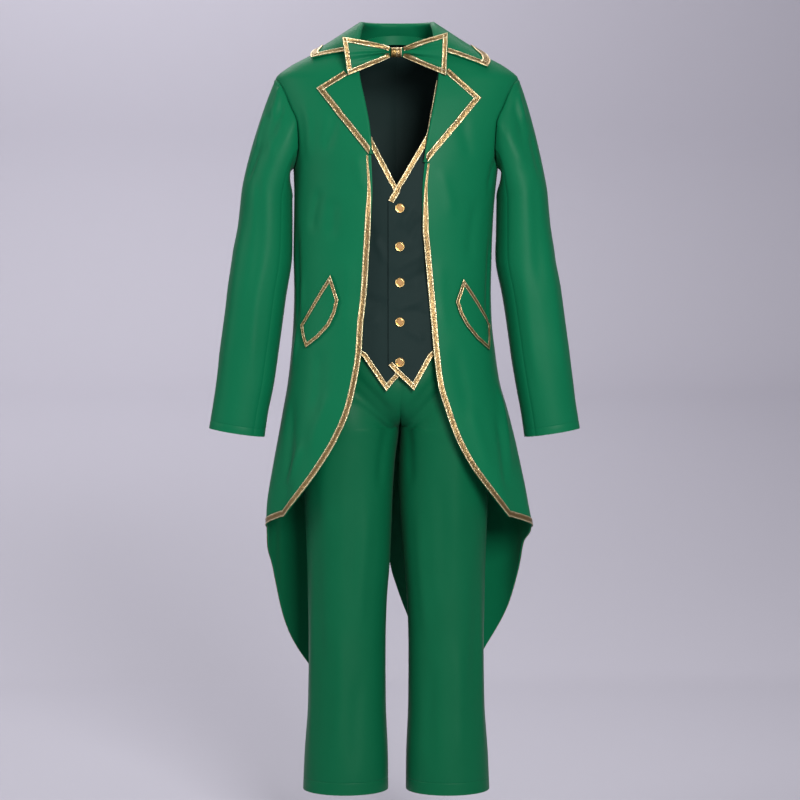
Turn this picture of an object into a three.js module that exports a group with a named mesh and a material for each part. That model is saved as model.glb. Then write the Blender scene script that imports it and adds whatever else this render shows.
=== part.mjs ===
// A leprechaun costume: tailcoat, waistcoat, trousers and bow tie, worn and hollow.
// Millimetres. +X is the wearer's left, -Y the front, +Z up. The origin is the middle of the neck base,
// between the shoulders. Names end in R or L for the wearer's right or left.
import * as THREE from "three";

// Cloth and tape
const CLOTH = 1.6; // suiting with its hem or facing
const TAPE = 1; // gold tape, sewn on flat
const SEAM = 0.3; // pieces stand this far apart
const FLAP_LIFT = 1.7; // a pocket flap's underside above the coat
const ON_CLOTH = 0.8; // a tape's underside above the cloth it is sewn to
const SQUARE = 0.9; // power that squares a body ring a little
const PER_MM = 0.32; // degrees of a coat ring in one millimetre

// Widths of gold tape
const EDGE_TAPE = 11;
const EDGE_TURNED = 3; // what shows of it under the lapel, where it is turned under
const EDGE_BACK = 5; // how far it stands back from the rolled edge there
const EDGE_FLAT = -330; // it lies flat at its whole width from here down
const EDGE_CLEAR = 2; // it ends this far short of a tail's inner edge
const COLLAR_TAPE = 10;
const LAPEL_TAPE = 10.5;
const POCKET_TAPE = 6.5;
const NECK_TAPE = 10;
const HEM_TAPE = 9;
const BOW_TAPE = 8.5;
const BOW_TAPE_ROOT = 6.2; // gathered at the knot

// Heights of the main lines
const NECK_LINE = 18;
const SHOULDER_TIP = -57;
const ARMPIT = -215;
const COAT_WAIST = -436; // the seam between the back and the tails
const COAT_HEM = -861; // where the front's cutaway edge reaches the side
const CUTAWAY_SIDE = -832; // the edge swings round the side below this height
const TAIL_TIP = -1250;
const VENT_TOP = -930;
const WAIST_TOP = -478;
const WAIST_SEAM = -515;
const CROTCH = -676;
const TROUSER_HEM = -1335;

// Coat rings: half width, depth before and behind the side line, and how far the sides lean to +X.
const COAT = [
  { z: 18, half: 85, front: 40, back: 60, lean: 0 },
  { z: 0, half: 125, front: 52, back: 78, lean: 0 },
  { z: -20, half: 166, front: 63, back: 88, lean: 0 },
  { z: -34, half: 192, front: 71, back: 96, lean: 0 },
  { z: -57, half: 217, front: 82, back: 104, lean: 0 },
  { z: -105, half: 208, front: 99, back: 114, lean: 0 },
  { z: -150, half: 197, front: 110, back: 118, lean: 0 },
  { z: -215, half: 182.5, front: 119, back: 116, lean: -2 },
  { z: -300, half: 178.5, front: 121, back: 108, lean: -6 },
  { z: -378, half: 177.5, front: 118, back: 104, lean: -8 },
  { z: -432, half: 176.5, front: 118, back: 104, lean: -8 },
  { z: -486, half: 178, front: 122, back: 110, lean: -8 },
  { z: -540, half: 183, front: 128, back: 120, lean: -7 },
  { z: -594, half: 190, front: 132, back: 128, lean: -6 },
  { z: -648, half: 202, front: 135, back: 136, lean: -3 },
  { z: -702, half: 213, front: 137, back: 143, lean: -1 },
  { z: -757, half: 223, front: 139, back: 149, lean: 0 },
  { z: -811, half: 232, front: 141, back: 154, lean: 1 },
  { z: -861, half: 237, front: 142, back: 158, lean: 4 },
  { z: -1000, half: 238, front: 142, back: 168, lean: 4 },
  { z: -1250, half: 234, front: 142, back: 178, lean: 2 },
];

// Soft folds of the coat's skirt: angle from the centre front, spread in degrees, depth, top and bottom.
const COAT_FOLDS = [
  { angle: 64, spread: 9, depth: -4, top: -560, bottom: -800 },
  { angle: 82, spread: 8, depth: 4, top: -600, bottom: -830 },
  { angle: 104, spread: 9, depth: -5, top: -560, bottom: -900 },
  { angle: 128, spread: 10, depth: 6, top: -600, bottom: -1000 },
  { angle: 150, spread: 9, depth: -5, top: -640, bottom: -1100 },
];

// Front edge of the coat: how far it stands from the centre, on each side. It is the roll line at the top.
const FRONT_EDGE = [
  { z: 18, R: 80, L: 80 },
  { z: 0, R: 77, L: 78 },
  { z: -34, R: 71, L: 77 },
  { z: -60, R: 67, L: 75 },
  { z: -110, R: 56, L: 66 },
  { z: -150, R: 49, L: 58 },
  { z: -200, R: 45, L: 50 },
  { z: -254, R: 43, L: 45.5 },
  { z: -317, R: 45.3, L: 45.2 },
  { z: -361, R: 47.7, L: 49.1 },
  { z: -436, R: 52.3, L: 56.1 },
  { z: -492, R: 58.4, L: 61.5 },
  { z: -536, R: 61, L: 65.1 },
  { z: -592, R: 70, L: 72.1 },
  { z: -641, R: 82.3, L: 86.1 },
  { z: -690, R: 103.4, L: 103.7 },
  { z: -739, R: 132.6, L: 129.6 },
  { z: -790, R: 169.5, L: 166.2 },
  { z: -832, R: 205, L: 198.2 },
];

// Swallow tails: angle of each one's outer edge, and how far its inner edge stands from the centre back
// on its own side. Above the vent both inner edges follow one seam, which swings to the wearer's right.
const TAIL = [
  { z: -700, outerR: 90, outerL: 90, innerR: 0, innerL: 0 },
  { z: -861, outerR: 90, outerL: 91, innerR: 11, innerL: -11 },
  { z: -893, outerR: 91.5, outerL: 104, innerR: 13.5, innerL: -13.5 },
  { z: -930, outerR: 99.5, outerL: 111, innerR: 15, innerL: -15 },
  { z: -958, outerR: 104.5, outerL: 116.2, innerR: 17, innerL: -11 },
  { z: -986, outerR: 110.5, outerL: 121, innerR: 20, innerL: -2.5 },
  { z: -1014, outerR: 115.8, outerL: 125.4, innerR: 24, innerL: 7 },
  { z: -1045, outerR: 121.5, outerL: 130.4, innerR: 31, innerL: 19 },
  { z: -1104, outerR: 132.5, outerL: 139.8, innerR: 46, innerL: 39 },
  { z: -1160, outerR: 143.5, outerL: 147.5, innerR: 61, innerL: 57 },
  { z: -1210, outerR: 152.5, outerL: 154.5, innerR: 74, innerL: 72 },
  { z: -1250, outerR: 160, outerL: 160, innerR: 84, innerL: 83 },
];

// Armhole seam: distance from the centre, in front and behind.
const ARMHOLE = [
  { z: -57, front: 217, back: 217 },
  { z: -62, front: 211, back: 212 },
  { z: -70, front: 205, back: 207 },
  { z: -105, front: 189, back: 194 },
  { z: -137, front: 176, back: 184 },
  { z: -180, front: 174, back: 180 },
  { z: -200, front: 177.5, back: 181.5 },
  { z: -211, front: 180.3, back: 182.2 },
  { z: -215, front: 182.5, back: 182.5 },
];

// Sleeve rings below the sleeve head: centre, half width, half depth, y of the centre, lean to +X.
const SLEEVE = [
  { z: -262, mid: 228, half: 45.5, deep: 62, y: -4, lean: -4.5 },
  { z: -325, mid: 231, half: 49, deep: 60, y: -5, lean: -5 },
  { z: -378, mid: 236, half: 53, deep: 58, y: -6, lean: -6 },
  { z: -432, mid: 245.5, half: 52.5, deep: 55, y: -8, lean: -5 },
  { z: -486, mid: 253, half: 52, deep: 52, y: -9, lean: -4.5 },
  { z: -540, mid: 260.5, half: 52, deep: 49, y: -11, lean: -4.5 },
  { z: -594, mid: 268, half: 51, deep: 46, y: -12, lean: -4 },
  { z: -648, mid: 277, half: 49.5, deep: 42, y: -13, lean: -4.5 },
  { z: -687, mid: 283, half: 50, deep: 39, y: -14, lean: -4.5 },
];
const SLEEVE_TILT = 0.155; // rise of a ring's outer side for each millimetre out, square to the sleeve
const SLEEVE_DEGREE = 0.7; // millimetres in a degree of the narrowest sleeve ring
const SLEEVE_SEAM = 129; // turn of the sleeve's seams from its top, in front and behind

// How the sleeve head leaves the armhole and meets the sleeve: the way it leaves, how far it runs that
// way on top and under the arm, and its run back up from the sleeve's first ring.
const HEAD = { out: 0.45, round: 0.6, down: 0.6, fall: 0.35, under: 26, over: 6, arrive: 0.35, lean: 0.17 };

// Lapels: distance of the outer edge from the centre. The widest row is the peak.
const LAPEL = {
  R: [
    { z: -34, outer: 88 },
    { z: -47, outer: 92.9 },
    { z: -61, outer: 116 },
    { z: -76, outer: 140.6 },
    { z: -192, outer: 49 },
  ],
  L: [
    { z: -30, outer: 87 },
    { z: -43, outer: 90.7 },
    { z: -68, outer: 119 },
    { z: -93, outer: 147.3 },
    { z: -206, outer: 53.5 },
  ],
};

// Collar sections from the centre back (at 0) to the front end (at 1): seam to the neckline, fold,
// and the fall's edge as an angle and height on the coat.
const COLLAR = {
  R: [
    { at: 0, seamX: 0, seamY: 59, seamZ: 19, foldX: 0, foldY: 50, foldZ: 45, angle: 180, z: -26 },
    { at: 0.2, seamX: 39, seamY: 54, seamZ: 19, foldX: 29, foldY: 46, foldZ: 45, angle: 157, z: -25 },
    { at: 0.4, seamX: 66, seamY: 40, seamZ: 19, foldX: 50, foldY: 32, foldZ: 45, angle: 133, z: -20 },
    { at: 0.6, seamX: 83, seamY: 12, seamZ: 19, foldX: 63, foldY: 10, foldZ: 45, angle: 108, z: -11 },
    { at: 0.75, seamX: 79, seamY: -9, seamZ: 20.5, foldX: 66, foldY: -12, foldZ: 38, angle: 90, z: -8 },
    { at: 0.9, seamX: 72, seamY: -31, seamZ: 9, foldX: 70, foldY: -38, foldZ: 16, angle: 73, z: -15 },
    { at: 1, seamX: 69, seamY: -45, seamZ: -11, foldX: 73, foldY: -54, foldZ: -7, angle: 58, z: -24 },
  ],
};
COLLAR.L = COLLAR.R.map((section) => ({ ...section }));
Object.assign(COLLAR.L[5], { angle: 68, z: -23 });
Object.assign(COLLAR.L[6], { angle: 50, z: -40 });

// Pocket flaps: edges as distances from the centre, nearer the front and nearer the side.
const POCKET = {
  R: [
    { z: -403, near: 112, far: 114 },
    { z: -425, near: 105, far: 125 },
    { z: -447, near: 98.2, far: 137 },
    { z: -470, near: 103, far: 149 },
    { z: -493, near: 114, far: 161 },
    { z: -514, near: 132, far: 158.5 },
    { z: -532, near: 153.5, far: 156 },
  ],
  L: [
    { z: -410, near: 119, far: 121 },
    { z: -430, near: 112, far: 133 },
    { z: -450, near: 104.7, far: 146 },
    { z: -472, near: 112, far: 159 },
    { z: -493, near: 124, far: 171.5 },
    { z: -516, near: 143, far: 169.5 },
    { z: -537, near: 166.5, far: 169 },
  ],
};

// Waistcoat: how far inside the coat it lies, its front edges and its pointed hem.
const VEST_INSET = [
  { z: 12, in: 3 },
  { z: -22, in: 3 },
  { z: -60, in: 6 },
  { z: -450, in: 6 },
  { z: -520, in: 8 },
  { z: -606, in: 11 },
];
const VEST_UNDER = 4.5; // the under front lies this much deeper at the overlap
const OVERLAP_END = { angle: 28, ease: 16 }; // where that depth is gone, and the degrees it takes
const VEST_SHOULDER = -10;
const VEST_ARMPIT = -232;
const VEST_STRAIGHT = -490; // rows are level down to here, then run into the hem
const VEST_EDGE = {
  R: [
    { z: 10, x: 79 },
    { z: -60, x: 66 },
    { z: -155, x: 48 },
    { z: -247, x: 0 },
    { z: -275, x: -15 },
  ],
  L: [
    { z: 10, x: 79 },
    { z: -60, x: 70 },
    { z: -155, x: 53 },
    { z: -247, x: -1 },
    { z: -272, x: -15 },
  ],
};
const VEST_HEM = {
  R: [
    { x: -15, z: -566 },
    { x: 2, z: -586 },
    { x: 19, z: -606 },
    { x: 40, z: -576 },
    { x: 61, z: -546 },
    { x: 100, z: -518 },
    { x: 140, z: -507 },
  ],
  L: [
    { x: -15, z: -560 },
    { x: 8, z: -583 },
    { x: 31, z: -605 },
    { x: 48, z: -575 },
    { x: 65, z: -546 },
    { x: 100, z: -518 },
    { x: 140, z: -507 },
  ],
};
const VEST_SIDE_HEM = -503;
const VEST_ARMHOLE = [
  { z: -10, x: 145 },
  { z: -15, x: 138 },
  { z: -30, x: 130 },
  { z: -60, x: 125 },
  { z: -120, x: 122 },
  { z: -170, x: 132 },
  { z: -205, x: 153 },
  { z: -225, x: 172 },
  { z: -232, x: 180 },
];

// Buttons
const BUTTON_X = 5.4;
const BUTTON_HEIGHTS = [-285.8, -353, -416, -485, -555.5];
const BUTTON = { radius: 8.3, rim: 1.4, slope: 0.8, thick: 3.4, recess: 1, bevel: 0.9, seat: 0.7 };

// Trousers: hip rings round the whole body, then rings of one leg.
const HIPS = [
  { z: -478, half: 151, front: 108.4, back: 94, lean: -6 },
  { z: -515, half: 154, front: 108, back: 100, lean: -5 },
  { z: -560, half: 162, front: 106, back: 109, lean: -4 },
  { z: -606, half: 171, front: 108, back: 117, lean: -3 },
  { z: -680, half: 175, front: 108, back: 120, lean: -2 },
];
const LEG = [
  { z: -600, mid: 90, half: 89.5, front: 98, back: 108 },
  { z: -676, mid: 88, half: 87, front: 96, back: 105 },
  { z: -704, mid: 87, half: 85, front: 93, back: 101 },
  { z: -824, mid: 86, half: 79.3, front: 84, back: 90 },
  { z: -907, mid: 86.5, half: 75.2, front: 78, back: 83 },
  { z: -1000, mid: 89, half: 70.7, front: 72, back: 77 },
  { z: -1075, mid: 89.4, half: 69.2, front: 70, back: 75 },
  { z: -1175, mid: 90, half: 70.2, front: 71, back: 76 },
  { z: -1276, mid: 91.5, half: 75.5, front: 74, back: 79 },
  { z: -1335, mid: 92.5, half: 77, front: 75, back: 80 },
];
const LEG_LEAN = -1.5;
const THIGH_TOP = -535; // hip rings turn into leg rings from here down to the crotch,
const FORK_TOP = -600; // and at the centre from here down
const INNER = [
  { z: -515, x: 4 },
  { z: -640, x: 7 },
  { z: -676, x: 6 },
  { z: -740, x: 0 },
  { z: -800, x: -2 },
  { z: -930, x: 0 },
]; // how far the centre and inner seams stand to +X

// Bow tie: outer corners of the wings, and the knot. A bend below 1 makes that edge flare early.
const BOW = {
  R: { topX: 96, topZ: 13.2, topBend: 0.62, bottomX: 86, bottomZ: -53.4, bottomBend: 0.9 },
  L: { topX: 89.4, topZ: 20.7, topBend: 0.8, bottomX: 86.5, bottomZ: -53.4, bottomBend: 0.95 },
};
const ON_WING = 1.4; // the tape bridges the gathers
const KNOT = { x: -0.8, z: -12.8, half: 9.4, tall: 15, taper: 2.5, round: 2, front: -85, back: -66 };
const WING = { height: 15, y: -74.2, sweep: 13, thick: 3, puff: 5, gathers: 3, gather: 0.8 };
const NECK_BAND = { half: 58, front: 65.4, back: 46, tall: 16, frontZ: -12, backZ: 16 };

const SIDES = { R: -1, L: 1 };
const DEGREES = Math.PI / 180;
const clamp = (value, low, high) => Math.min(high, Math.max(low, value));
const mix = (a, b, t) => a + (b - a) * t;
const ease = (t) => t * t * (3 - 2 * t);
const mixPoint = (a, b, t) => a.map((value, k) => mix(value, b[k], t));

// Reads a table's column at a place between its rows, on a curve that doesn't overshoot.
function read(table, column, place, key = "z") {
  const rising = table[table.length - 1][key] > table[0][key];
  let i = 1;
  while (i < table.length - 1 && (rising ? place > table[i][key] : place < table[i][key])) i++;
  const slope = (k) =>
    (table[k + 1][column] - table[k][column]) / (table[k + 1][key] - table[k][key]);
  const tangent = (k) => {
    if (k === 0 || k === table.length - 1) return slope(Math.min(k, table.length - 2));
    const [a, b] = [slope(k - 1), slope(k)];
    return a * b <= 0 ? 0 : (2 * a * b) / (a + b);
  };
  const [from, to] = [table[i - 1], table[i]];
  const span = to[key] - from[key];
  const t = clamp((place - from[key]) / span, 0, 1);
  const bend = t * (1 - t);
  return (
    mix(from[column], to[column], ease(t)) +
    span * bend * ((1 - t) * tangent(i - 1) - t * tangent(i))
  );
}

// Reads a table along straight lines.
function readStraight(table, column, place, key) {
  let i = 1;
  while (i < table.length - 1 && place > table[i][key]) i++;
  const [from, to] = [table[i - 1], table[i]];
  const t = clamp((place - from[key]) / (to[key] - from[key]), 0, 1);
  return mix(from[column], to[column], t);
}

// Numbers from first to last in equal steps.
const steps = (first, last, count) =>
  Array.from({ length: count + 1 }, (_, i) => mix(first, last, i / count));

const power = (value) => Math.sign(value) * Math.abs(value) ** SQUARE;

// A point of a body ring: angle from the centre front (0) round the side (90) to the centre back (180).
function ringPoint(table, side, angle, z) {
  const across = power(Math.sin(angle * DEGREES));
  const along = power(Math.cos(angle * DEGREES));
  const depth = read(table, along > 0 ? "front" : "back", z);
  const x = side * read(table, "half", z) * across + read(table, "lean", z) * across ** 2;
  return [x, -depth * along, z];
}

// The angle at which a ring stands this far from the centre.
function ringAngle(table, x, z, behind = false) {
  const share = clamp(x / read(table, "half", z), -1, 1);
  const angle = Math.asin(Math.sign(share) * Math.abs(share) ** (1 / SQUARE)) / DEGREES;
  return behind ? 180 - angle : angle;
}

// Turns a form, which gives a point for two places on it, into a surface that can be left by a distance
// square to it. facing is 1 or -1, and the steps are small ones in each place.
function surfaceOf(form, facing, stepP = 0.5, stepQ = 1) {
  return (p, q, out = 0) => {
    const here = form(p, q);
    if (out === 0) return here;
    const normal = new THREE.Vector3(...form(p + stepP, q)).sub(new THREE.Vector3(...form(p - stepP, q)));
    const up = new THREE.Vector3(...form(p, q + stepQ)).sub(new THREE.Vector3(...form(p, q - stepQ)));
    normal.cross(up).normalize().multiplyScalar(out * facing);
    return [here[0] + normal.x, here[1] + normal.y, here[2] + normal.z];
  };
}

// Coat body with its folds.
function coatForm(side) {
  return (angle, z) => {
    const [x, y] = ringPoint(COAT, side, angle, z);
    const fold = COAT_FOLDS.reduce((sum, { angle: middle, spread, depth, top, bottom }) => {
      const shape = Math.exp(-(((angle - middle) / spread) ** 2));
      return sum + depth * shape * ease(clamp((z - top) / (bottom - top), 0, 1));
    }, 0);
    const grow = 1 + fold / Math.hypot(x, y);
    return [x * grow, y * grow, z];
  };
}
const COAT_SURFACE = {
  R: surfaceOf(coatForm(SIDES.R), SIDES.R),
  L: surfaceOf(coatForm(SIDES.L), SIDES.L),
};

// Angle of the coat's front edge, which swings round to the side at the bottom.
function edgeAngle(name, z) {
  if (z >= CUTAWAY_SIDE) return ringAngle(COAT, read(FRONT_EDGE, name, z), z);
  const start = ringAngle(COAT, read(FRONT_EDGE, name, CUTAWAY_SIDE), CUTAWAY_SIDE);
  const share = clamp((z - CUTAWAY_SIDE) / (COAT_HEM - CUTAWAY_SIDE), 0, 1);
  return mix(start, 90, share ** 0.8);
}

function armholeAngle(z, behind) {
  const angle = ringAngle(COAT, read(ARMHOLE, behind ? "back" : "front", z), z, behind);
  return z >= SHOULDER_TIP || z <= ARMPIT ? 90 : angle;
}

const innerAngle = (name, z) => ringAngle(COAT, read(TAIL, "inner" + name, z), z, true);
const tailAngle = (name, z) => (z > COAT_HEM ? 90 : read(TAIL, "outer" + name, z));

// A shift in degrees that opens a seam of the coat by half of SEAM.
const seamAngle = (z) => (SEAM * 0.75) / (read(COAT, "half", z) * DEGREES);

// Makes a closed wall from a grid of corners, given on the outer and the inner side.
function wall(outer, inner, closed = false) {
  const [rows, cols] = [outer.length, outer[0].length];
  const positions = [...outer.flat(2), ...inner.flat(2)];
  const corner = (skin, i, j) => (skin * rows + i) * cols + (j % cols);
  const faces = [];
  const quad = (a, b, c, d) => faces.push(a, b, c, a, c, d);
  const lastCol = closed ? cols : cols - 1;
  for (let i = 0; i < rows - 1; i++)
    for (let j = 0; j < lastCol; j++) {
      quad(corner(0, i, j), corner(0, i + 1, j), corner(0, i + 1, j + 1), corner(0, i, j + 1));
      quad(corner(1, i, j), corner(1, i, j + 1), corner(1, i + 1, j + 1), corner(1, i + 1, j));
    }
  for (let j = 0; j < lastCol; j++) {
    quad(corner(0, 0, j), corner(0, 0, j + 1), corner(1, 0, j + 1), corner(1, 0, j));
    const end = rows - 1;
    quad(corner(0, end, j), corner(1, end, j), corner(1, end, j + 1), corner(0, end, j + 1));
  }
  if (!closed)
    for (let i = 0; i < rows - 1; i++) {
      quad(corner(0, i, 0), corner(1, i, 0), corner(1, i + 1, 0), corner(0, i + 1, 0));
      const end = cols - 1;
      quad(corner(0, i, end), corner(0, i + 1, end), corner(1, i + 1, end), corner(1, i, end));
    }
  if (enclosed(positions, faces) < 0) faces.reverse();
  const geometry = new THREE.BufferGeometry();
  geometry.setAttribute("position", new THREE.Float32BufferAttribute(positions, 3));
  geometry.setIndex(faces);
  geometry.computeVertexNormals();
  return geometry;
}

// Six times the volume inside the faces, below zero when they face inwards.
function enclosed(positions, faces) {
  const at = (index) => new THREE.Vector3().fromArray(positions, index * 3);
  let volume = 0;
  for (let i = 0; i < faces.length; i += 3)
    volume += at(faces[i]).dot(at(faces[i + 1]).cross(at(faces[i + 2])));
  return volume;
}

// Cloth over a grid of places on a surface. lift is its underside above that surface, so a panel,
// whose outer side is the surface, has a lift of minus its thickness.
function cloth(surface, grid, { lift = -CLOTH, thick = CLOTH, closed = false } = {}) {
  const skin = (out) => grid.map((row) => row.map(([p, q]) => surface(p, q, out)));
  return wall(skin(lift + thick), skin(lift), closed);
}

// Grid of places for a tape that follows a path on a surface, with one width or one for each place.
// turn is 1 or -1 for the side of the path it lies on, and keep puts a place back inside the piece.
function tapeGrid(surface, path, width, turn, { closed = false, keep = (place) => place } = {}) {
  const count = path.length;
  const point = (place) => new THREE.Vector3(...surface(...place));
  const sideways = ([p, q], from, to) => {
    const normal = new THREE.Vector3(...surface(p, q, 1)).sub(point([p, q]));
    return normal.cross(point(to).sub(point(from)).normalize()).normalize().multiplyScalar(turn);
  };
  return path.map((place, i) => {
    const before = path[closed ? (i + count - 1) % count : Math.max(i - 1, 0)];
    const after = path[closed ? (i + 1) % count : Math.min(i + 1, count - 1)];
    const first = before === place ? sideways(place, place, after) : sideways(place, before, place);
    const second = after === place ? first : sideways(place, place, after);
    const reach = (width[i] ?? width) / Math.max(SHARPEST, 1 + first.dot(second));
    const target = first.clone().add(second).multiplyScalar(reach);
    const [stepP, stepQ] = surface.steps ?? [0.5, 1];
    const [p, q] = surface.inside ? surface.inside(place) : place;
    const alongP = point([p + stepP, q]).sub(point([p - stepP, q])).divideScalar(2 * stepP);
    const alongQ = point([p, q + stepQ]).sub(point([p, q - stepQ])).divideScalar(2 * stepQ);
    const [pp, pq, qq] = [alongP.dot(alongP), alongP.dot(alongQ), alongQ.dot(alongQ)];
    const [tp, tq] = [alongP.dot(target), alongQ.dot(target)];
    const scale = pp * qq - pq * pq;
    const inner = [place[0] + (tp * qq - tq * pq) / scale, place[1] + (tq * pp - tp * pq) / scale];
    return [place, keep(inner)];
  });
}

const SHARPEST = 0.35; // keeps a mitre at a sharp corner from running far out

const MATERIALS = {
  suiting: new THREE.MeshStandardMaterial({ color: 0x186d4a, roughness: 0.75, side: THREE.DoubleSide }),
  trousers: new THREE.MeshStandardMaterial({ color: 0x146a45, roughness: 0.75, side: THREE.DoubleSide }),
  vest: new THREE.MeshStandardMaterial({ color: 0x253635, roughness: 0.85, side: THREE.DoubleSide }),
  tape: new THREE.MeshStandardMaterial({ color: 0xc8a564, roughness: 0.4, metalness: 0.7 }),
  button: new THREE.MeshStandardMaterial({ color: 0xc9a45c, roughness: 0.3, metalness: 0.9 }),
};

const costume = new THREE.Group();
function add(name, geometry, material) {
  const mesh = new THREE.Mesh(geometry, MATERIALS[material]);
  mesh.name = name;
  costume.add(mesh);
  return mesh;
}

// Heights of the coat's rows: neck to shoulder tip, armhole, body.
const COAT_TOP_ROWS = [NECK_LINE, 10, 0, -10, -22, -38];
const ARMHOLE_ROWS = steps(0, 180, 8).map((turn) =>
  mix(SHOULDER_TIP, ARMPIT, (1 - Math.cos(turn * DEGREES)) / 2),
);
const BODY_ROWS = [-262, -317, -378, -436, -492, -540, -592, -641, -690, -739, -790];
const CUTAWAY_ROWS = [-812, -824, CUTAWAY_SIDE, -837, -842, -847, -852, -856];
const TAIL_ROWS = [-958, -986, -1014, -1045, -1104, -1160, -1210, TAIL_TIP];

function coatFront(name) {
  const columns = 7;
  const rows = [...COAT_TOP_ROWS, ...ARMHOLE_ROWS, ...BODY_ROWS, ...CUTAWAY_ROWS];
  const grid = rows.map((z) => {
    const outer = armholeAngle(z, false) - seamAngle(z);
    return steps(edgeAngle(name, z), outer, columns).map((angle) => [angle, z]);
  });
  add("coat_front_" + name, cloth(COAT_SURFACE[name], grid), "suiting");
}

// Each half of the back is cut at the waist, where its swallow tail is sewn on.
function coatBack(name) {
  const columns = 7;
  const upper = [...COAT_TOP_ROWS, ...ARMHOLE_ROWS, ...BODY_ROWS.filter((z) => z > COAT_WAIST)];
  const lower = [...BODY_ROWS.filter((z) => z < COAT_WAIST), CUTAWAY_SIDE, COAT_HEM, -893, VENT_TOP];
  const panels = {
    coat_back_: [...upper, COAT_WAIST + SEAM / 2],
    coat_tail_: [COAT_WAIST - SEAM / 2, ...lower, ...TAIL_ROWS],
  };
  for (const [piece, rows] of Object.entries(panels)) {
    const grid = rows.map((z) => {
      const outer = Math.max(armholeAngle(z, true), tailAngle(name, z)) + seamAngle(z);
      return steps(outer, innerAngle(name, z) - seamAngle(z), columns).map((angle) => [angle, z]);
    });
    add(piece + name, cloth(COAT_SURFACE[name], grid), "suiting");
  }
}

// Gold tape from the lapel's foot down the front edge, round the side and down the tail. At its top it
// is turned under, so less of its width lies in front, and it stands back from the rolled edge.
function coatEdgeTrim(name) {
  const foot = LAPEL[name].at(-1).z - 2;
  const heights = [foot, -230, -262, -290, -317, ...BODY_ROWS.slice(2), ...CUTAWAY_ROWS, COAT_HEM, -870];
  heights.push(-893, VENT_TOP, ...TAIL_ROWS.slice(0, -1), -1240);
  const flat = (z) => ease(clamp((foot - z) / (foot - EDGE_FLAT), 0, 1));
  const path = heights.map((z) => {
    const back = EDGE_BACK * (1 - flat(z)) * PER_MM;
    return [(z > COAT_HEM ? edgeAngle(name, z) : tailAngle(name, z)) + back, z];
  });
  const widths = heights.map((z) => mix(EDGE_TURNED, EDGE_TAPE, flat(z)));
  const keep = ([angle, z]) => [Math.min(angle, innerAngle(name, z) - EDGE_CLEAR * PER_MM), z];
  const grid = tapeGrid(COAT_SURFACE[name], path, widths, SIDES[name], { keep });
  const tape = cloth(COAT_SURFACE[name], grid, { lift: ON_CLOTH, thick: TAPE });
  add("coat_edge_trim_" + name, tape, "tape");
}

// A sleeve from the armhole's loop: turn is 0 on top, 90 in front and 180 under the arm. The place
// along it is 0 at the armhole, 1 below the sleeve head and 2 at the cuff.
function sleeveForm(name) {
  const side = SIDES[name];
  const body = coatForm(side);
  const headZ = SLEEVE[0].z;
  const cuffZ = SLEEVE.at(-1).z;
  const ring = (turn, z) => {
    const [mid, half] = [read(SLEEVE, "mid", z), read(SLEEVE, "half", z)];
    const out = half * Math.cos(turn * DEGREES);
    const y = read(SLEEVE, "y", z) - read(SLEEVE, "deep", z) * Math.sin(turn * DEGREES);
    return [side * (mid + out) + read(SLEEVE, "lean", z), y, z + SLEEVE_TILT * out];
  };
  return (turn, place) => {
    if (place >= 1) return ring(turn, mix(headZ, cuffZ, place - 1));
    const [sin, cos] = [Math.sin(turn * DEGREES), Math.cos(turn * DEGREES)];
    const seamZ = mix(SHOULDER_TIP, ARMPIT, (1 - cos) / 2);
    const start = body(armholeAngle(seamZ, sin < 0), seamZ);
    start[0] += side * SEAM * 2; // facets bring the two nearer than this
    const end = ring(turn, headZ);
    const leave = new THREE.Vector3(side * HEAD.out, -HEAD.round * sin, -HEAD.down - HEAD.fall * cos);
    leave.normalize().multiplyScalar(HEAD.under + HEAD.over * cos);
    const arrive = HEAD.arrive * Math.hypot(...end.map((value, k) => value - start[k]));
    const second = start.map((value, k) => value + leave.getComponent(k));
    const third = [end[0] - side * HEAD.lean * arrive, end[1], end[2] + arrive];
    const t = place;
    const weights = [(1 - t) ** 3, 3 * t * (1 - t) ** 2, 3 * t * t * (1 - t), t ** 3];
    return [0, 1, 2].map((k) =>
      [start, second, third, end].reduce((sum, point, n) => sum + weights[n] * point[k], 0),
    );
  };
}

// Each sleeve is cut in two: a top sleeve, and a narrower one under the arm.
function sleeve(name) {
  const places = [0, 0.12, 0.3, 0.5, 0.7, 0.86, 1, 1.12, 1.26, 1.4, 1.55, 1.7, 1.85, 2];
  const surface = surfaceOf(sleeveForm(name), SIDES[name], 2, 0.01);
  const gap = SEAM / 2 / SLEEVE_DEGREE;
  const panels = [
    { piece: "top_sleeve_", from: gap - SLEEVE_SEAM, to: SLEEVE_SEAM - gap, columns: 12 },
    { piece: "under_sleeve_", from: SLEEVE_SEAM + gap, to: 360 - SLEEVE_SEAM - gap, columns: 5 },
  ];
  for (const { piece, from, to, columns } of panels) {
    const grid = places.map((place) => steps(from, to, columns).map((turn) => [turn, place]));
    add(piece + name, cloth(surface, grid), "suiting");
  }
}

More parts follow.
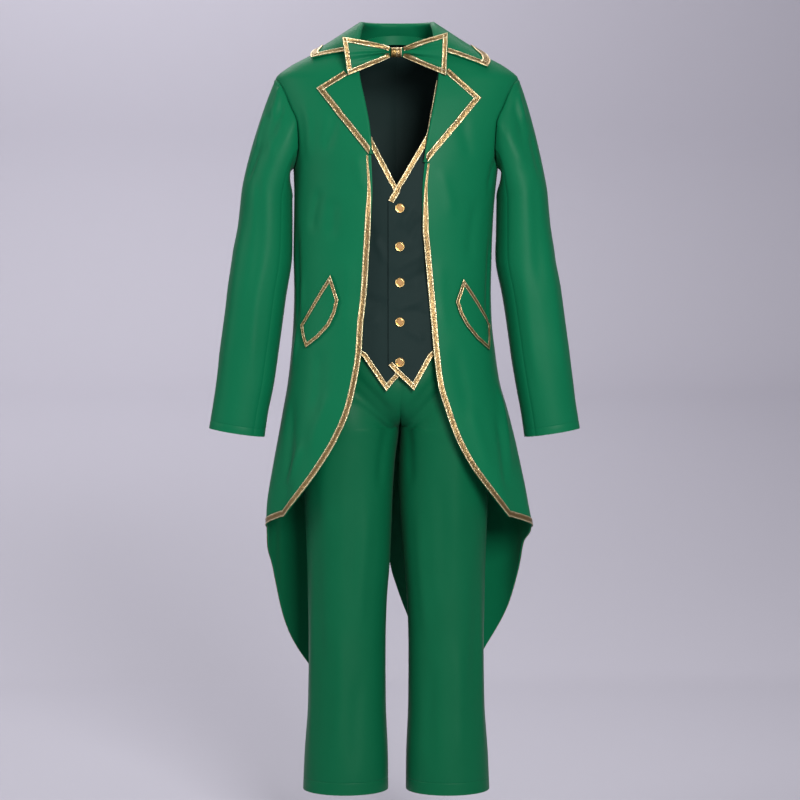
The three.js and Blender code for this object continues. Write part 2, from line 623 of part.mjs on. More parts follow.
// The collar stands from the neckline seam, folds over and falls on the shoulders. The place round the
// neck runs from -1 at the right front end through 0 at the back to 1 at the left. The place across is
// 0 at the seam, 3 at the fold and 7 at the fall's edge.
const FOLD_NEAR = { out: 3.5, drop: 4 }; // the stand just inside the fold
const FOLD_FAR = { out: 6.5, drop: 3 }; // the fall just outside it
const FALL_LIFT = 3;
const FALL_BULGE = 1;
const ON_COLLAR = 1.3; // the tape bridges the fall's bends
function collarForm(round, across) {
  const name = round < 0 ? "R" : "L";
  const at = Math.abs(round);
  const value = (column) => read(COLLAR[name], column, at, "at");
  const side = SIDES[name];
  const seam = [side * value("seamX"), value("seamY"), value("seamZ")];
  const fold = [side * value("foldX"), value("foldY"), value("foldZ")];
  const edge = COAT_SURFACE[name](value("angle"), value("z"), FALL_LIFT);
  const away = [edge[0] - seam[0] * 0.5, edge[1] - seam[1] * 0.5];
  const distance = Math.hypot(...away);
  const out = away.map((component) => component / distance);
  const beside = (reach, drop) => [fold[0] + out[0] * reach, fold[1] + out[1] * reach, fold[2] - drop];
  const near = beside(-FOLD_NEAR.out, FOLD_NEAR.drop);
  const far = beside(FOLD_FAR.out, FOLD_FAR.drop);
  const lifted = (t) => {
    const point = mixPoint(far, edge, t);
    return [point[0], point[1], point[2] + 4 * FALL_BULGE * t * (1 - t)];
  };
  const section = [seam, mixPoint(seam, near, 0.5), near, fold, far, lifted(0.33), lifted(0.67), edge];
  const i = clamp(Math.floor(across), 0, section.length - 2);
  return mixPoint(section[i], section[i + 1], across - i);
}
const COLLAR_ROUND = steps(-1, 1, 30);
const collarSurface = surfaceOf(collarForm, -1, 0.01, 0.05);
collarSurface.steps = [0.01, 0.05];
collarSurface.inside = ([round, across]) => [clamp(round, -0.99, 0.99), across];

function collar() {
  const grid = steps(0, 7, 7).map((across) => COLLAR_ROUND.map((round) => [round, across]));
  add("collar", cloth(collarSurface, grid), "suiting");
}

// Gold tape on the collar's front ends and along the edge of its fall. The surface faces the fall's
// underside, so the tape lies beyond the cloth's other side.
function collarTrim() {
  const ends = [4.4, 5, 6];
  const path = [
    ...ends.map((across) => [-1, across]),
    ...COLLAR_ROUND.map((round) => [round, 7]),
    ...ends.reverse().map((across) => [1, across]),
  ];
  const grid = tapeGrid(collarSurface, path, COLLAR_TAPE, 1);
  const lift = -CLOTH - ON_COLLAR - TAPE;
  add("collar_trim", cloth(collarSurface, grid, { lift, thick: TAPE }), "tape");
}

// Lapels lie on the fronts, and stand a little prouder at the roll line.
const LAPEL_REST = 3.1;
const LAPEL_ROLL = 3;
const LAPEL_UP = { R: [...LAPEL.R].reverse(), L: [...LAPEL.L].reverse() };
const lapelEdge = (name, z) =>
  ringAngle(COAT, readStraight(LAPEL_UP[name], "outer", z, "z"), z);
function lapelSurface(name) {
  const share = (angle, z) => {
    const roll = edgeAngle(name, z);
    return clamp((angle - roll) / Math.max(lapelEdge(name, z) - roll, 1), 0, 1);
  };
  const form = (angle, z) =>
    COAT_SURFACE[name](angle, z, LAPEL_REST + LAPEL_ROLL * (1 - share(angle, z)) ** 2);
  return surfaceOf(form, SIDES[name]);
}

function lapel(name) {
  const surface = lapelSurface(name);
  const peak = LAPEL[name].at(-2).z;
  const foot = LAPEL[name].at(-1).z;
  const heights = [...LAPEL[name].slice(0, -1).map((row) => row.z), ...steps(peak, foot, 5).slice(1)];
  const grid = heights.map((z) => {
    return steps(edgeAngle(name, z), lapelEdge(name, z), 4).map((angle) => [angle, z]);
  });
  add("lapel_" + name, cloth(surface, grid), "suiting");
  const path = heights.slice(1).map((z) => [lapelEdge(name, z), z]);
  const keep = ([angle, z]) => [Math.max(angle, edgeAngle(name, z)), z];
  const tape = tapeGrid(surface, path, LAPEL_TAPE, -SIDES[name], { keep });
  add("lapel_trim_" + name, cloth(surface, tape, { lift: ON_CLOTH, thick: TAPE }), "tape");
}

// A pocket flap, and the tape all round it.
function pocket(name) {
  const surface = COAT_SURFACE[name];
  const flapTop = FLAP_LIFT + CLOTH;
  const edge = (row, column) => [ringAngle(COAT, row[column], row.z), row.z];
  const grid = POCKET[name].map((row) => {
    const [near, far] = [edge(row, "near"), edge(row, "far")];
    return steps(0, 1, 5).map((t) => mixPoint(near, far, t));
  });
  add("pocket_flap_" + name, cloth(surface, grid, { lift: FLAP_LIFT }), "suiting");
  const near = POCKET[name].map((row) => edge(row, "near"));
  const far = POCKET[name].slice(1, -1).map((row) => edge(row, "far"));
  const path = [...near, ...far.reverse()];
  const loop = tapeGrid(surface, path, POCKET_TAPE, SIDES[name], { closed: true });
  const across = [0, 1].map((k) => loop.map((pair) => pair[k]));
  const tape = cloth(surface, across, { lift: flapTop + ON_CLOTH, thick: TAPE, closed: true });
  add("pocket_trim_" + name, tape, "tape");
}

// Waistcoat, inside the coat. The right front runs under the left one.
function vestForm(name) {
  const under = name === "R";
  return (angle, z) => {
    const nearCentre = under ? clamp((OVERLAP_END.angle - angle) / OVERLAP_END.ease, 0, 1) : 0;
    return COAT_SURFACE[name](angle, z, -read(VEST_INSET, "in", z) - VEST_UNDER * ease(nearCentre));
  };
}
const VEST_SURFACE = {
  R: surfaceOf(vestForm("R"), SIDES.R),
  L: surfaceOf(vestForm("L"), SIDES.L),
};
const VEST_ROWS = [10, 0, VEST_SHOULDER, -22, -38, -60, -105, -150, -185, -210, -225, VEST_ARMPIT];
VEST_ROWS.push(-255, -275, -340, -420, VEST_STRAIGHT);
const vestArmhole = (z, behind = false) =>
  z >= VEST_SHOULDER || z <= VEST_ARMPIT
    ? 90
    : ringAngle(COAT, read(VEST_ARMHOLE, "x", z), z, behind);
const VEST_EDGE_UP = { R: [...VEST_EDGE.R].reverse(), L: [...VEST_EDGE.L].reverse() };
const vestEdge = (name, z) => ringAngle(COAT, readStraight(VEST_EDGE_UP[name], "x", z, "z"), z);

// Places of the hem's points, as angles and heights, from the front edge to the side seam.
function vestHem(name) {
  const points = VEST_HEM[name].map(({ x, z }) => [ringAngle(COAT, x, z), z]);
  return [...points, [90 - seamAngle(VEST_SIDE_HEM), VEST_SIDE_HEM]];
}

function vestFront(name) {
  const hem = vestHem(name);
  const shares = hem.map(([angle]) => (angle - hem[0][0]) / (hem.at(-1)[0] - hem[0][0]));
  const level = VEST_ROWS.map((z) => {
    const [near, far] = [vestEdge(name, z), vestArmhole(z) - seamAngle(z)];
    return shares.map((share) => [mix(near, far, share), z]);
  });
  const last = level.at(-1);
  const toHem = [0.4, 0.75, 1].map((t) => hem.map((place, j) => mixPoint(last[j], place, t)));
  add("vest_front_" + name, cloth(VEST_SURFACE[name], [...level, ...toHem]), "vest");
}

// Gold tape on the V neck and along the pointed hem.
function vestTrims(name) {
  const surface = VEST_SURFACE[name];
  const heights = [-60, -90, -120, -155, -185, -215, -247, VEST_EDGE[name].at(-1).z];
  const neck = heights.map((z) => [vestEdge(name, z), z]);
  const under = { lift: ON_CLOTH, thick: TAPE };
  const neckTape = tapeGrid(surface, neck, NECK_TAPE, SIDES[name]);
  add("vest_neck_trim_" + name, cloth(surface, neckTape, under), "tape");
  const hemTape = tapeGrid(surface, vestHem(name).slice(0, 7), HEM_TAPE, SIDES[name]);
  add("vest_hem_trim_" + name, cloth(surface, hemTape, under), "tape");
}

function vestBack(name) {
  const rows = [...VEST_ROWS, VEST_SIDE_HEM];
  const grid = rows.map((z) => {
    const gap = seamAngle(z);
    return steps(vestArmhole(z, true) + gap, 180 - gap, 6).map((angle) => [angle, z]);
  });
  add("vest_back_" + name, cloth(VEST_SURFACE[name], grid), "vest");
}

function button(index) {
  const { radius, rim, slope, thick, recess, bevel } = BUTTON;
  const profile = [
    [0, 0],
    [radius - bevel, 0],
    [radius, bevel],
    [radius - bevel / 3, thick - bevel / 2],
    [radius - rim, thick],
    [radius - rim - slope, thick - recess],
    [0, thick - recess],
  ].map(([r, h]) => new THREE.Vector2(r, h));
  const geometry = new THREE.LatheGeometry(profile, 12);
  const mesh = add("vest_button_" + (index + 1), geometry, "button");
  const z = BUTTON_HEIGHTS[index];
  const angle = ringAngle(COAT, BUTTON_X, z);
  const [x, y] = VEST_SURFACE.L(angle, z, BUTTON.seat);
  mesh.rotation.x = Math.PI;
  mesh.position.set(x, y, z);
}

// One half of the trousers, in front or behind: t is 0 at the outer seam and 1 at the centre or inner seam.
function trouserForm(name, behind) {
  const side = SIDES[name];
  const turn = behind ? 1 : -1;
  const depth = behind ? "back" : "front";
  return (t, z) => {
    const [across, along] = [power(Math.cos((t * Math.PI) / 2)), power(Math.sin((t * Math.PI) / 2))];
    const hipX = side * (read(HIPS, "half", z) * across + SEAM / 2) + read(HIPS, "lean", z) * across ** 2;
    const hip = [hipX, turn * read(HIPS, depth, z) * along];
    const mid = read(LEG, "mid", z);
    const legX = side * (mid + read(LEG, "half", z) * Math.cos(t * Math.PI)) + LEG_LEAN * (1 - t);
    const leg = [legX, turn * read(LEG, depth, z) * power(Math.sin(t * Math.PI))];
    const central = ease(clamp(2 * t - 1, 0, 1));
    const top = mix(THIGH_TOP, FORK_TOP, central);
    const down = clamp((z - top) / (CROTCH - top), 0, 1);
    const fork = mix(ease(down), 1 - Math.sqrt(1 - down ** 2), central);
    const [x, y] = mixPoint(hip, leg, fork);
    return [x + read(INNER, "x", z) * t ** 3, y + (turn * SEAM) / 2, z];
  };
}

function trouserPanel(name, behind) {
  const fork = steps(0, 90, 7).map((turn) => mix(FORK_TOP, CROTCH, Math.sin(turn * DEGREES)));
  const rows = [WAIST_SEAM - SEAM, -548, -575, ...fork, -690, -740, -824, -907, -1000, -1075, -1175, -1276];
  rows.push(TROUSER_HEM);
  const facing = behind ? -SIDES[name] : SIDES[name];
  const surface = surfaceOf(trouserForm(name, behind), -facing, 0.002, 1);
  const grid = rows.map((z) => steps(0, 1, 8).map((t) => [t, z]));
  const place = behind ? "back" : "front";
  add("trouser_" + place + "_" + name, cloth(surface, grid), "trousers");
}

function waistband() {
  const surface = surfaceOf((angle, z) => ringPoint(HIPS, 1, angle, z), 1);
  const angles = steps(0, 360, 28).slice(0, -1);
  const grid = [WAIST_TOP, WAIST_SEAM].map((z) => angles.map((angle) => [angle, z]));
  add("waistband", cloth(surface, grid, { lift: -2, thick: 2, closed: true }), "trousers");
}

// A bow wing from the knot (p is 0) to its flared end (1), and from its bottom edge (q is 0) to its top.
function wingForm(name) {
  const side = SIDES[name];
  const { topX, topZ, topBend, bottomX, bottomZ, bottomBend } = BOW[name];
  return (p, q) => {
    const rootX = KNOT.half + 0.5 + side * KNOT.x;
    const x = mix(rootX, mix(bottomX, topX, q), p);
    const top = mix(KNOT.z + WING.height / 2, topZ, clamp(p, 0, 1) ** topBend);
    const bottom = mix(KNOT.z - WING.height / 2, bottomZ, clamp(p, 0, 1) ** bottomBend);
    const z = mix(bottom, top, q);
    const gather = WING.gather * Math.cos(WING.gathers * Math.PI * (2 * q - 1)) * (1 - p) ** 2;
    const puff = WING.puff * 4 * q * (1 - q) * p * (1.5 - p);
    return [side * x, WING.y - WING.sweep * p - puff - gather, z];
  };
}

function bowWing(name) {
  const surface = surfaceOf(wingForm(name), SIDES[name], 0.01, 0.01);
  surface.steps = [0.01, 0.01];
  const grid = steps(0, 1, 7).map((p) => steps(0, 1, 6).map((q) => [p, q]));
  add("bow_wing_" + name, cloth(surface, grid, { lift: -WING.thick, thick: WING.thick }), "suiting");
  const along = [0.02, ...steps(1 / 7, 1, 6)];
  const path = [
    ...along.map((p) => [p, 0]),
    ...steps(0, 1, 6).slice(1, -1).map((q) => [1, q]),
    ...along.reverse().map((p) => [p, 1]),
  ];
  const widths = path.map(([p]) => mix(BOW_TAPE_ROOT, BOW_TAPE, clamp(p * 2, 0, 1)));
  const tape = tapeGrid(surface, path, widths, SIDES[name]);
  add("bow_trim_" + name, cloth(surface, tape, { lift: ON_WING, thick: TAPE }), "tape");
}

function bowKnot() {
  const { half, tall, taper, round, front, back, x, z } = KNOT;
  const profile = [
    [0, -tall / 2],
    [half - taper, -tall / 2],
    [half - taper / 4, -tall / 2 + round],
    [half, 0],
    [half - taper / 4, tall / 2 - round],
    [half - taper, tall / 2],
    [0, tall / 2],
  ].map(([r, h]) => new THREE.Vector2(r, h));
  const mesh = add("bow_knot", new THREE.LatheGeometry(profile, 12), "tape");
  mesh.geometry.rotateX(Math.PI / 2).scale(1, (back - front) / (2 * half), 1);
  mesh.position.set(x, (front + back) / 2, z);
}

// The band round the neck that carries the knot, higher behind.
function neckBand() {
  const { half, front, back, tall, frontZ, backZ } = NECK_BAND;
  const form = (angle, height) => {
    const [sin, cos] = [Math.sin(angle * DEGREES), Math.cos(angle * DEGREES)];
    return [half * sin, -(cos > 0 ? front : back) * cos, mix(backZ, frontZ, (1 + cos) / 2) + height];
  };
  const angles = steps(0, 360, 24).slice(0, -1);
  const grid = [tall / 2, -tall / 2].map((height) => angles.map((angle) => [angle, height]));
  add("neck_band", cloth(surfaceOf(form, 1), grid, { closed: true }), "suiting");
}

for (const name of ["R", "L"]) {
  coatFront(name);
  coatBack(name);
  sleeve(name);
  coatEdgeTrim(name);
  lapel(name);
  pocket(name);
  vestFront(name);
  vestTrims(name);
  vestBack(name);
  trouserPanel(name, false);
  trouserPanel(name, true);
  bowWing(name);
}
collar();
collarTrim();
BUTTON_HEIGHTS.forEach((_, index) => button(index));
waistband();
bowKnot();
neckBand();

export default costume;
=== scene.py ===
"""A leprechaun costume as it hangs when worn: tailcoat, waistcoat, trousers and bow tie, all hollow.

Sizes are in millimetres and turned to metres where a mesh is made. Only the camera, the studio, the
lights and the materials are in metres. +X is the wearer's left, -Y the front, +Z up, and the origin is
the middle of the neck base. Names end in R or L for the wearer's right or left.
"""

import math

import bpy
import numpy as np
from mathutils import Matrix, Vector


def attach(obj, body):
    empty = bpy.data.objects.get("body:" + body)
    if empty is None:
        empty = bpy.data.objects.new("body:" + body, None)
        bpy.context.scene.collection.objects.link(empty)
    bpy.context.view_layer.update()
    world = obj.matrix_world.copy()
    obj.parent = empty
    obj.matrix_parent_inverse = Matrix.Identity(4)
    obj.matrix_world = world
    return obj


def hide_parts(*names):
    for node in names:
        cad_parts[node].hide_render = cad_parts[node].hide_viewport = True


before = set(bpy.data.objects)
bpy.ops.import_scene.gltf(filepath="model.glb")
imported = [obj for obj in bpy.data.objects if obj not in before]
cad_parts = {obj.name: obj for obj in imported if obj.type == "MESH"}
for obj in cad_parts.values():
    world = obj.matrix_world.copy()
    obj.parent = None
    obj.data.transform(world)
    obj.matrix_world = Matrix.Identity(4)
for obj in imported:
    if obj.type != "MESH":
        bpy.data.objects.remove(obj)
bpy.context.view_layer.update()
MM = 0.001

# Thickness of cloth and tape. Places across a tape are drawn as if it were TAPE_UV wide, so that one
# material fits every width.
CLOTH = 1.6
TAPE = 1.0
TAPE_UV = 10.0

# How far a pocket flap stands off the coat, and tape off the cloth that it is sewn to
FLAP_LIFT = 1.7
ON_CLOTH = 0.8

# Widths of the tapes that keep one width
LAPEL_TAPE = 10.5
COLLAR_TAPE = 10
POCKET_TAPE = 6.5
VEST_NECK_TAPE = 10
VEST_HEM_TAPE = 9

# Depth and width of the groove where a hem is stitched
STITCH_DEPTH = 0.45
STITCH_WIDTH = 0.7

# Rings of the body are ellipses whose sines and cosines are raised to this power, which squares them a
# little.
SQUARE = 0.9

# Gold tape on the coat's front edge: its width, how much of it shows under the lapel, where it is turned
# under, and how far it stands back from the rolled edge there. It lies flat from EDGE_FLAT down to
# TAPE_FOOT, where it stays this many degrees from the tail's inner edge. Above EDGE_FLAT the cloth within
# EDGE_REACH of the edge rolls in by EDGE_ROLL, and it begins to over a length of EDGE_FADE.
EDGE_TAPE = 11.0
EDGE_TURNED = 3.0
EDGE_BACK = 5.0
EDGE_FLAT = -330
EDGE_ROLL = 3.0
EDGE_REACH = 3.5
EDGE_FADE = 90
TAPE_FOOT = -1240
FOOT_MARGIN = 0.6

# Heights of the main lines
NECK_LINE = 18
SHOULDER_TIP = -57
ARMPIT = -215
COAT_WAIST = -436
COAT_HEM = -861
CUTAWAY_SIDE = -832
TAIL_TIP = -1250
WAIST_TOP = -478
WAIST_SEAM = -515
CROTCH = -676
TROUSER_HEM = -1335

# The hips turn into legs from THIGH_TOP down at the sides and from FORK_TOP down at the centre.
THIGH_TOP = -535
FORK_TOP = -600


def table(names, *rows):
    """Rows of numbers under named columns, as one array for each column."""
    return dict(zip(names.split(), np.array(rows, float).T))


# Coat rings: half width, depth before and behind the side line, and how far the sides lean to +X.
COAT = table(
    "z half front back lean",
    (18, 85, 40, 60, 0),
    (0, 125, 52, 78, 0),
    (-20, 166, 63, 88, 0),
    (-34, 192, 71, 96, 0),
    (-57, 217, 82, 104, 0),
    (-105, 208, 99, 114, 0),
    (-150, 197, 110, 118, 0),
    (-215, 182.5, 119, 116, -2),
    (-300, 178.5, 121, 108, -6),
    (-378, 177.5, 118, 104, -8),
    (-432, 176.5, 118, 104, -8),
    (-486, 178, 122, 110, -8),
    (-540, 183, 128, 120, -7),
    (-594, 190, 132, 128, -6),
    (-648, 202, 135, 136, -3),
    (-702, 213, 137, 143, -1),
    (-757, 223, 139, 149, 0),
    (-811, 232, 141, 154, 1),
    (-861, 237, 142, 158, 4),
    (-1000, 238, 142, 168, 4),
    (-1250, 234, 142, 178, 2),
)

# Wide folds of the coat's skirt: angle from the centre front, spread in degrees, depth, top and bottom.
SKIRT_FOLDS = [
    (64, 9, -4, -560, -800),
    (82, 8, 4, -600, -830),
    (104, 9, -5, -560, -900),
    (128, 10, 6, -600, -1000),
    (150, 9, -5, -640, -1100),
]

# Front edge of the coat: its distance from the centre on each side. It is the roll line at the top.
FRONT_EDGE = table(
    "z R L",
    (18, 80, 80),
    (0, 77, 78),
    (-34, 71, 77),
    (-60, 67, 75),
    (-110, 56, 66),
    (-150, 49, 58),
    (-200, 45, 50),
    (-254, 43, 45.5),
    (-317, 45.3, 45.2),
    (-361, 47.7, 49.1),
    (-436, 52.3, 56.1),
    (-492, 58.4, 61.5),
    (-536, 61, 65.1),
    (-592, 70, 72.1),
    (-641, 82.3, 86.1),
    (-690, 103.4, 103.7),
    (-739, 132.6, 129.6),
    (-790, 169.5, 166.2),
    (-832, 205, 198.2),
)

# Swallow tails: angle of each one's outer edge, and distance of its inner edge from the centre back on
# its own side. Above the vent both inner edges follow one seam, which swings to the wearer's right.
TAIL = table(
    "z outer_r outer_l inner_r inner_l",
    (-700, 90, 90, 0, 0),
    (-861, 90, 91, 11, -11),
    (-893, 91.5, 104, 13.5, -13.5),
    (-930, 99.5, 111, 15, -15),
    (-958, 104.5, 116.2, 17, -11),
    (-986, 110.5, 121, 20, -2.5),
    (-1014, 115.8, 125.4, 24, 7),
    (-1045, 121.5, 130.4, 31, 19),
    (-1104, 132.5, 139.8, 46, 39),
    (-1160, 143.5, 147.5, 61, 57),
    (-1210, 152.5, 154.5, 74, 72),
    (-1250, 160, 160, 84, 83),
)

# Armhole seam: distance from the centre, in front and behind.
ARMHOLE = table(
    "z front back",
    (-57, 217, 217),
    (-62, 211, 212),
    (-70, 205, 207),
    (-105, 189, 194),
    (-137, 176, 184),
    (-180, 174, 180),
    (-200, 177.5, 181.5),
    (-211, 180.3, 182.2),
    (-215, 182.5, 182.5),
)

# Sleeve rings below the sleeve head: centre, half width, half depth, y of the centre, lean to +X.
SLEEVE = table(
    "z mid half deep y lean",
    (-262, 228, 45.5, 62, -4, -4.5),
    (-325, 231, 49, 60, -5, -5),
    (-378, 236, 53, 58, -6, -6),
    (-432, 245.5, 52.5, 55, -8, -5),
    (-486, 253, 52, 52, -9, -4.5),
    (-540, 260.5, 52, 49, -11, -4.5),
    (-594, 268, 51, 46, -12, -4),
    (-648, 277, 49.5, 42, -13, -4.5),
    (-687, 283, 50, 39, -14, -4.5),
)
# A ring's outer side stands higher, by this share of its half width. The two seams lie at this turn
# from the top, in degrees. The cuff is stitched this far up.
SLEEVE_TILT = 0.155
SLEEVE_SEAM = 129
CUFF_STITCH = 14

# The seam allowance at the armhole lies under the coat's edge: its length, and how deep its end lies. At
# the seam the sleeve sinks by HEAD_SINK, over a short reach.
SLEEVE_ALLOWANCE = 17
ALLOWANCE_SINK = 4.1
HEAD_SINK = 0.9
HEAD_REACH = 5

# The sleeve head leaves the armhole on a slant: outwards, round to the front or back, and down, which is
# more on top and less under the arm by "fall". It heads that way for "reach", again more on top and less
# under the arm, by "swing". Then it arrives at the sleeve over a share of the whole way, with a lean.
HEAD = {
    "out": 0.45,
    "round": 0.6,
    "down": 0.6,
    "fall": 0.35,
    "reach": 26,
    "swing": 6,
    "arrive": 0.35,
    "lean": 0.17,
}

# Lapels: distance of the outer edge from the centre. The widest row is the peak.
LAPEL = {
    "R": table("z outer", (-34, 88), (-47, 92.9), (-61, 116), (-76, 140.6), (-192, 49)),
    "L": table("z outer", (-30, 87), (-43, 90.7), (-68, 119), (-93, 147.3), (-206, 53.5)),
}
# How far a lapel stands off the coat, how much more at the roll line, and how far the roll bulges out
LAPEL_REST = 3.1
LAPEL_ROLL = 3.0
ROLL_OUT = 2.6

# Collar sections from the centre back (at 0) to a front end (at 1): seam, fold, and the fall's edge.
COLLAR_NAMES = "at seam_x seam_y seam_z fold_x fold_y fold_z angle z"
COLLAR_BACK = [
    (0, 0, 59, 19, 0, 50, 45, 180, -26),
    (0.2, 39, 54, 19, 29, 46, 45, 157, -25),
    (0.4, 66, 40, 19, 50, 32, 45, 133, -20),
    (0.6, 83, 12, 19, 63, 10, 45, 108, -11),
    (0.75, 79, -9, 20.5, 66, -12, 38, 90, -8),
]
COLLAR = {
    "R": table(
        COLLAR_NAMES,
        *COLLAR_BACK,
        (0.9, 72, -31, 9, 70, -38, 16, 73, -15),
        (1, 69, -45, -11, 73, -54, -7, 58, -24),
    ),
    "L": table(
        COLLAR_NAMES,
        *COLLAR_BACK,
        (0.9, 72, -31, 9, 70, -38, 16, 68, -23),
        (1, 69, -45, -11, 73, -54, -7, 50, -40),
    ),
}
# The fold is round: how far in and down the stand's last point lies, and how far out and down the fall's
# first one.
FOLD_NEAR = (3.5, 4.0)
FOLD_FAR = (6.5, 3.0)
# Places across the collar run from 0 at the seam to this at the fall's edge. Tape on a front end lies
# between these two places.
COLLAR_EDGE = 7
COLLAR_TAPE_ENDS = (4.4, 6.8)
# How far the fall's edge stands off the coat, how far the fall bulges, and how far tape stands off it
FALL_LIFT = 3.0
FALL_BULGE = 1.0
ON_COLLAR = 1.3

# Pocket flaps: edges as distances from the centre, nearer the front and nearer the side.
POCKET = {
    "R": table(
        "z near far",
        (-403, 112, 114),
        (-425, 105, 125),
        (-447, 98.2, 137),
        (-470, 103, 149),
        (-493, 114, 161),
        (-514, 132, 158.5),
        (-532, 153.5, 156),
    ),
    "L": table(
        "z near far",
        (-410, 119, 121),
        (-430, 112, 133),
        (-450, 104.7, 146),
        (-472, 112, 159),
        (-493, 124, 171.5),
        (-516, 143, 169.5),
        (-537, 166.5, 169),
    ),
}

# Waistcoat: how far inside the coat it lies, its front edges, pointed hem and armholes.
VEST_INSET = table("z depth", (12, 3), (-22, 3), (-60, 6), (-450, 6), (-520, 8), (-606, 11))
# The right front drops under the left one by VEST_UNDER, on its way from the first angle to the second.
VEST_UNDER = 4.5
VEST_UNDER_FROM = 28
VEST_UNDER_TO = 12
VEST_NECK = 10
VEST_SHOULDER = -10
VEST_ARMPIT = -232
VEST_STRAIGHT = -490
VEST_SIDE_HEM = -503
VEST_EDGE = {
    "R": table("z x", (VEST_NECK, 79), (-60, 66), (-155, 48), (-247, 0), (-275, -15)),
    "L": table("z x", (VEST_NECK, 79), (-60, 70), (-155, 53), (-247, -1), (-272, -15)),
}
VEST_HEM = {
    "R": [(-15, -566), (2, -586), (19, -606), (40, -576), (61, -546), (100, -518), (140, -507)],
    "L": [(-15, -560), (8, -583), (31, -605), (48, -575), (65, -546), (100, -518), (140, -507)],
}
VEST_ARMHOLE = table(
    "z x",
    (-10, 145),
    (-15, 138),
    (-30, 130),
    (-60, 125),
    (-120, 122),
    (-170, 132),
    (-205, 153),
    (-225, 172),
    (-232, 180),
)
# The V neck's tape starts here, under the coat's front edge.
VEST_TAPE_TOP = -60

# Buttons: distance from the centre, heights, the back plate's radius, and how far it stands off the cloth
BUTTON_X = 5.4
BUTTON_HEIGHTS = [-285.8, -353, -416, -485, -555.5]
BUTTON_PLATE = 7.3
BUTTON_SEAT = 0.7

# Trousers: the waistband's thickness, hip rings round the whole body, then rings of one leg.
WAISTBAND = 2
HIPS = table(
    "z half front back lean",
    (-478, 151, 108.4, 94, -6),
    (-515, 154, 108, 100, -5),
    (-560, 162, 106, 109, -4),
    (-606, 171, 108, 117, -3),
    (-680, 175, 108, 120, -2),
)
LEG = table(
    "z mid half front back",
    (-600, 90, 89.5, 98, 108),
    (-676, 88, 87, 96, 105),
    (-704, 87, 85, 93, 101),
    (-824, 86, 79.3, 84, 90),
    (-907, 86.5, 75.2, 78, 83),
    (-1000, 89, 70.7, 72, 77),
    (-1075, 89.4, 69.2, 70, 75),
    (-1175, 90, 70.2, 71, 76),
    (-1276, 91.5, 75.5, 74, 79),
    (-1335, 92.5, 77, 75, 80),
)
# How far the centre and inner seams stand to +X, and then the outer seams. The hem is stitched this far
# up.
INNER = table("z x", (-515, 4), (-640, 7), (-676, 6), (-740, 0), (-800, -2), (-930, 0))
LEG_LEAN = -1.5
HEM_STITCH = 22

# Bow tie: x, z and bend of the wings' outer corners, the knot and the neck band. A bend below 1 makes
# that edge flare early.
BOW = {
    "R": {"top": (96, 13.2, 0.62), "bottom": (86, -53.4, 0.9)},
    "L": {"top": (89.4, 20.7, 0.8), "bottom": (86.5, -53.4, 0.95)},
}
KNOT_X = -0.8
KNOT_Z = -12.8
KNOT_HALF = 9.4
KNOT_TALL = 15
KNOT_FRONT = -85
KNOT_BACK = -66
KNOT_PINCH = 0.06
# The wings start beside the knot, sweep forward from WING_Y, puff out in their middle, and are gathered at
# the knot.
WING_GAP = 0.5
WING_Y = -74.2
WING_SWEEP = 13
WING_PUFF = 5
WING_GATHER = 2.8
WING_HEIGHT = 15
WING_DEEP = 3
ON_WING = 1.4
BOW_TAPE = 8.5
BOW_TAPE_ROOT = 6.2
BAND_HALF = 58
BAND_FRONT = 65.4
BAND_BACK = 46
BAND_TALL = 16
BAND_FRONT_Z = -12
BAND_BACK_Z = 16

SIDES = {"R": -1, "L": 1}

# From here to the functions, sizes are in metres. The camera looks down by an angle in degrees.
CAMERA_PLACE = (0.0054, -4.8, -0.306)
CAMERA_DOWN = 3.8616
CAMERA_LENS = 120.27
CAMERA_SENSOR = 36

# The studio's sheet: floor, a gentle rise behind the feet with a round start, and a wall on a round foot
FLOOR_Z = -1.45
FLOOR_FRONT = -6.5
RISE_START = 1.7
RISE_ROUND = 1.2
RISE_ANGLE = math.radians(9)
WALL_Y = 6.0
WALL_ROUND = 1.0
WALL_TOP = 4.5
SHEET_HALF = 5.0

# Lights: name, place, the point it shines at, width and height, and watts
LIGHTS = [
    ("key", (1.3, -4.6, 0.9), (0.05, 0, -0.6), (1.5, 1.5), 225),
    ("side", (-3.5, -1.2, 0.9), (0, 0.1, -0.5), (1.6, 2.2), 44),
    ("front", (-0.9, -4.6, 0.1), (0, 0, -0.5), (1.2, 1.2), 10),
    ("wall", (-1.3, 3.7, 2.7), (-1.3, 4.8, -0.4), (2.8, 1.4), 118),
    ("top", (-0.1, 0.5, 1.7), (0, 0, -0.2), (1.6, 0.8), 16),
    ("floor", (-0.5, 0.8, 0.8), (-0.4, 1.5, -1.4), (2.4, 0.5), 16),
]
AIR_COLOUR = "D5D3DC"
AIR_STRENGTH = 0.28


def mix(a, b, t):
    return a + (b - a) * t


def ease(t):
    t = np.clip(t, 0, 1)
    return t * t * (3 - 2 * t)


def read(rows, column, place, key="z"):
    """Reads a table's column between its rows, on a curve that doesn't overshoot."""
    x, y = rows[key], rows[column]
    if x[0] > x[-1]:
        x, y = x[::-1], y[::-1]
    slope = np.diff(y) / np.diff(x)
    before, after = slope[:-1], slope[1:]
    total = np.where(before + after == 0, 1, before + after)
    inner = np.where(before * after <= 0, 0, 2 * before * after / total)
    tangent = np.concatenate(([slope[0]], inner, [slope[-1]]))
    place = np.clip(place, x[0], x[-1])
    i = np.clip(np.searchsorted(x, place) - 1, 0, len(x) - 2)
    span = x[i + 1] - x[i]
    t = (place - x[i]) / span
    bend = t * (1 - t)
    straight = mix(y[i], y[i + 1], t * t * (3 - 2 * t))
    return straight + span * bend * ((1 - t) * tangent[i] - t * tangent[i + 1])


